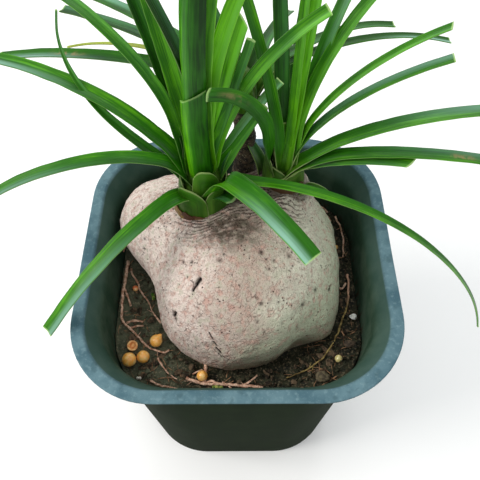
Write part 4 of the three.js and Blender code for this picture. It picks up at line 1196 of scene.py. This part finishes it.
# The litter: dead fibres, crumbs of bark and short broken roots that lie on the soil or lean
# on the wall, and a scrap of green leaf.

STICKS = {  # broken roots: thickness and two or three points, height over the soil last
    "root_stubs": (root_finish, "root", (
        (1.3, ((-12.4, -36.5, 3.5), (-12.7, -40, 1.8), (-12.9, -43.4, 0.6))),
        (0.7, ((-14.4, -41, 2.0), (-13.6, -42.6, 1.0), (-12.9, -43.6, 0.6))),
        (0.6, ((-17.6, -39.8, 0.6), (-15.4, -38.6, 1.2), (-13.8, -38.0, 1.6))),
        (0.9, ((-12.9, -43.4, 0.6), (-10, -42.6, 1.6), (-7.4, -44.2, 1.2))),
        (0.8, ((42.7, -0.9, 1.2), (44.4, -1.8, 1.6), (46.0, 0.4, 2.4))),
        (0.8, ((36.4, 42.6, 0.8), (39.6, 39.8, 1.6), (41.6, 38.0, 1.0))),
        (0.7, ((42.8, 33.6, 0.8), (41.2, 36.0, 1.4), (38.6, 36.8, 0.8))),
        (1.0, ((-35.6, 43.6, 1.0), (-36.2, 44.6, 8.0), (-36.2, 44.8, 15.0))),
        (0.8, ((9.0, 49.4, 6.0), (10.2, 50.2, 12.0), (13.0, 50.0, 15.0))),
        (0.6, ((-48.4, 20.0, 1.0), (-49.2, 18.0, 4.0), (-49.4, 14.0, 6.0))),
        (0.7, ((-6.0, -42.6, 0.5), (-3.4, -44.4, 1.2), (-1.0, -47.0, 0.8))),
        (0.9, ((-49.0, 0.0, 0.8), (-46.6, -5.0, 1.6), (-44.8, -9.6, 0.8))),
        (0.8, ((-43.5, 2.5, 1.2), (-45.6, 5.4, 1.6), (-46.4, 8.4, 0.8))),
        (0.8, ((-35.4, -12.5, 1.0), (-33.4, -15.4, 1.6), (-31.6, -17.6, 1.0))),
        (0.9, ((-45.6, -17.6, 1.4), (-42.4, -17.0, 2.0), (-39.0, -17.2, 1.6))),
        (0.7, ((-31.6, -30.0, 1.0), (-28.8, -31.2, 1.6), (-27.2, -29.8, 0.8))),
    )),
    "leaf_scraps": (None, "leaf", (
        (1.5, ((-9.6, -44.4, 0.6), (-7.8, -45.0, 1.0), (-6.0, -44.8, 0.6))),
        (1.2, ((-12.2, -45.6, 0.5), (-10.8, -46.0, 0.8), (-9.4, -46.2, 0.5))),
        (1.4, ((-36.4, -3.4, 0.6), (-35.8, -4.8, 0.8), (-35.6, -6.2, 0.5))),
    )),
}
FIBRES, FIBRE_BENDS = 150, 4
CHIPS = 110

scrap = Finish("scrap", sheen=0.3)
cloud = scrap.noise(1.2, detail=4)
scrap_colour = scrap.blend(scrap.ramp(cloud, 0.4, 0.6), (44, 96, 20), (154, 158, 84))
scrap_finish = scrap.coat(scrap_colour, scrap.ramp(cloud, -0.6, 0.6), cloud, 0.1)
for name, (stick_finish, slot, sticks) in STICKS.items():
    bm = bmesh.new()
    for thick, points in sticks:
        line = curve_through([(x, y, on_soil(x, y) + over) for x, y, over in points], 0.5)
        add_tube(bm, line, [thick / 2 * (1 + 0.3 * noise.noise(spot * 1.1)) for spot in line], 10,
                 upright=(0.1, 0.05, 1))
    bmesh.ops.recalc_face_normals(bm, faces=bm.faces)
    stick = finished(bm, name, stick_finish or scrap_finish, sharp=180)
    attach(stick, "root")

fibre = Finish("fibre", sheen=0.25)
cloud = fibre.noise(3)
fibre_colour = fibre.blend(fibre.ramp(cloud, 0.42, 0.6), (70, 48, 34), (168, 128, 96))
fibre_finish = fibre.coat(fibre_colour, fibre.ramp(cloud, -0.9, 0.6), cloud, 0.05)
bm = bmesh.new()
scatter = random.Random(31)
laid = 0
while laid < FIBRES:
    spot = drawn_spot(scatter, 2)
    if wood_gap(spot) < 2:
        continue
    laid += 1
    heading = scatter.uniform(0, math.tau)
    bend = scatter.uniform(-0.5, 0.5)
    reach = scatter.uniform(1.2, 3.4)
    route = [spot]
    for _ in range(FIBRE_BENDS - 1):
        heading += bend
        spot = kept_inside(spot + Vector((math.cos(heading), math.sin(heading))) * reach, HAIR_MARGIN)
        route.append(spot)
    add_root(bm, route, scatter.uniform(0.18, 0.42), sides=5, lift=scatter.uniform(0.1, 0.6))
bmesh.ops.recalc_face_normals(bm, faces=bm.faces)
fibres = finished(bm, "fibres", fibre_finish, sharp=180)
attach(fibres, "root")

chip = Finish("chip", sheen=0.25)
cloud = chip.noise(2.2, detail=4)
chip_grain = chip.noise(0.6, stretch=(1, 0.3, 1))
chip_colour = chip.washes(
    chip.blend(chip.ramp(cloud, 0.4, 0.6), (40, 34, 26), (98, 82, 64)),
    ((136, 112, 92), chip.ramp(chip_grain, 0.55, 0.7), 0.6))
chip_finish = chip.coat(chip_colour, chip.ramp(cloud, -0.9, 0.6), chip_grain, 0.15)
bm = bmesh.new()
laid = 0
while laid < CHIPS:
    spot = drawn_spot(scatter, 3)
    radius = scatter.uniform(0.8, 2.0)
    if wood_gap(spot) < radius + 0.5:
        continue
    laid += 1
    turn = drawn_turn(scatter, X=0.4, Y=0.4)
    shares = (1, scatter.uniform(0.4, 0.8), scatter.uniform(0.18, 0.35))
    middle = Vector((spot.x, spot.y, soil_height(spot.x, spot.y) + 0.35))
    add_crumb(bm, middle, radius, turn, shares, 0.6, 0.8)
chips = finished(bm, "bark_chips", chip_finish, sharp=40)
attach(chips, "root")

# The stage: a plain pale floor, a bright soft sky, a large soft light at the upper left and
# another behind the plant, which gives the leaves their sheen. The camera looks down from
# the front, as the photo was taken.

CAMERA_AIM = Vector((1.1, 5.0, 120)) * MM
CAMERA_AWAY = 225.5 * MM
CAMERA_RISE, CAMERA_ROUND, CAMERA_ROLL = (math.radians(a) for a in (55.7, 0.4, -0.7))
SENSOR, LENS = 36, 43
NEAREST = 5 * MM  # the camera sees nothing nearer
FLOOR_HALF = 4000
SKY_COLOUR, SKY_STRENGTH = (0.97, 0.99, 1.0, 1), 0.85
LIGHTS = (  # place in metres, size, watts and colour
    ("key_light", (-0.8, -0.15, 0.9), 0.5, 8.0, (1.0, 0.97, 0.93)),
    ("back_light", (0.1, 0.85, 0.95), 0.6, 3.5, (0.95, 0.98, 1.0)),
    ("fill_light", (0.5, -0.8, 0.8), 0.8, 1.5, (1.0, 1.0, 1.0)),
)

floor_finish = Finish("floor", sheen=0.2)
floor_tint = floor_finish.blend(floor_finish.noise(60), (244, 244, 243), (248, 248, 247))
floor_dull = floor_finish.spread(floor_finish.noise(8), 0.7, 0.8)
bm = bmesh.new()
bmesh.ops.create_grid(bm, x_segments=1, y_segments=1, size=FLOOR_HALF)
floor = finished(bm, "floor", floor_finish.coat(floor_tint, floor_dull, floor_finish.noise(0.8), 0.01))

world = bpy.data.worlds.new("sky")
bpy.context.scene.world = world
world.use_nodes = True
sky = world.node_tree.nodes["Background"]
sky.inputs["Color"].default_value = SKY_COLOUR
sky.inputs["Strength"].default_value = SKY_STRENGTH
for name, spot, size, power, colour in LIGHTS:
    lamp = bpy.data.lights.new(name, "AREA")
    lamp.size, lamp.energy, lamp.color = size, power, colour
    light = bpy.data.objects.new(name, lamp)
    light.location = spot
    light.rotation_mode = "QUATERNION"
    light.rotation_quaternion = (CAMERA_AIM - Vector(spot)).to_track_quat("-Z", "Y")
    bpy.context.scene.collection.objects.link(light)

back = Vector((math.sin(CAMERA_ROUND) * math.cos(CAMERA_RISE),
               -math.cos(CAMERA_ROUND) * math.cos(CAMERA_RISE), math.sin(CAMERA_RISE)))
right = Vector((0, 0, 1)).cross(back).normalized()
right = Matrix.Rotation(CAMERA_ROLL, 3, back) @ right
camera_data = bpy.data.cameras.new("camera")
camera_data.sensor_width = SENSOR
camera_data.lens = LENS
camera_data.clip_start = NEAREST
camera = bpy.data.objects.new("camera", camera_data)
camera.matrix_world = (Matrix.Translation(CAMERA_AIM + back * CAMERA_AWAY)
                       @ Matrix((right, back.cross(right), back)).transposed().to_4x4())
bpy.context.scene.collection.objects.link(camera)
bpy.context.scene.camera = camera
bpy.context.scene.view_settings.view_transform = "Standard"
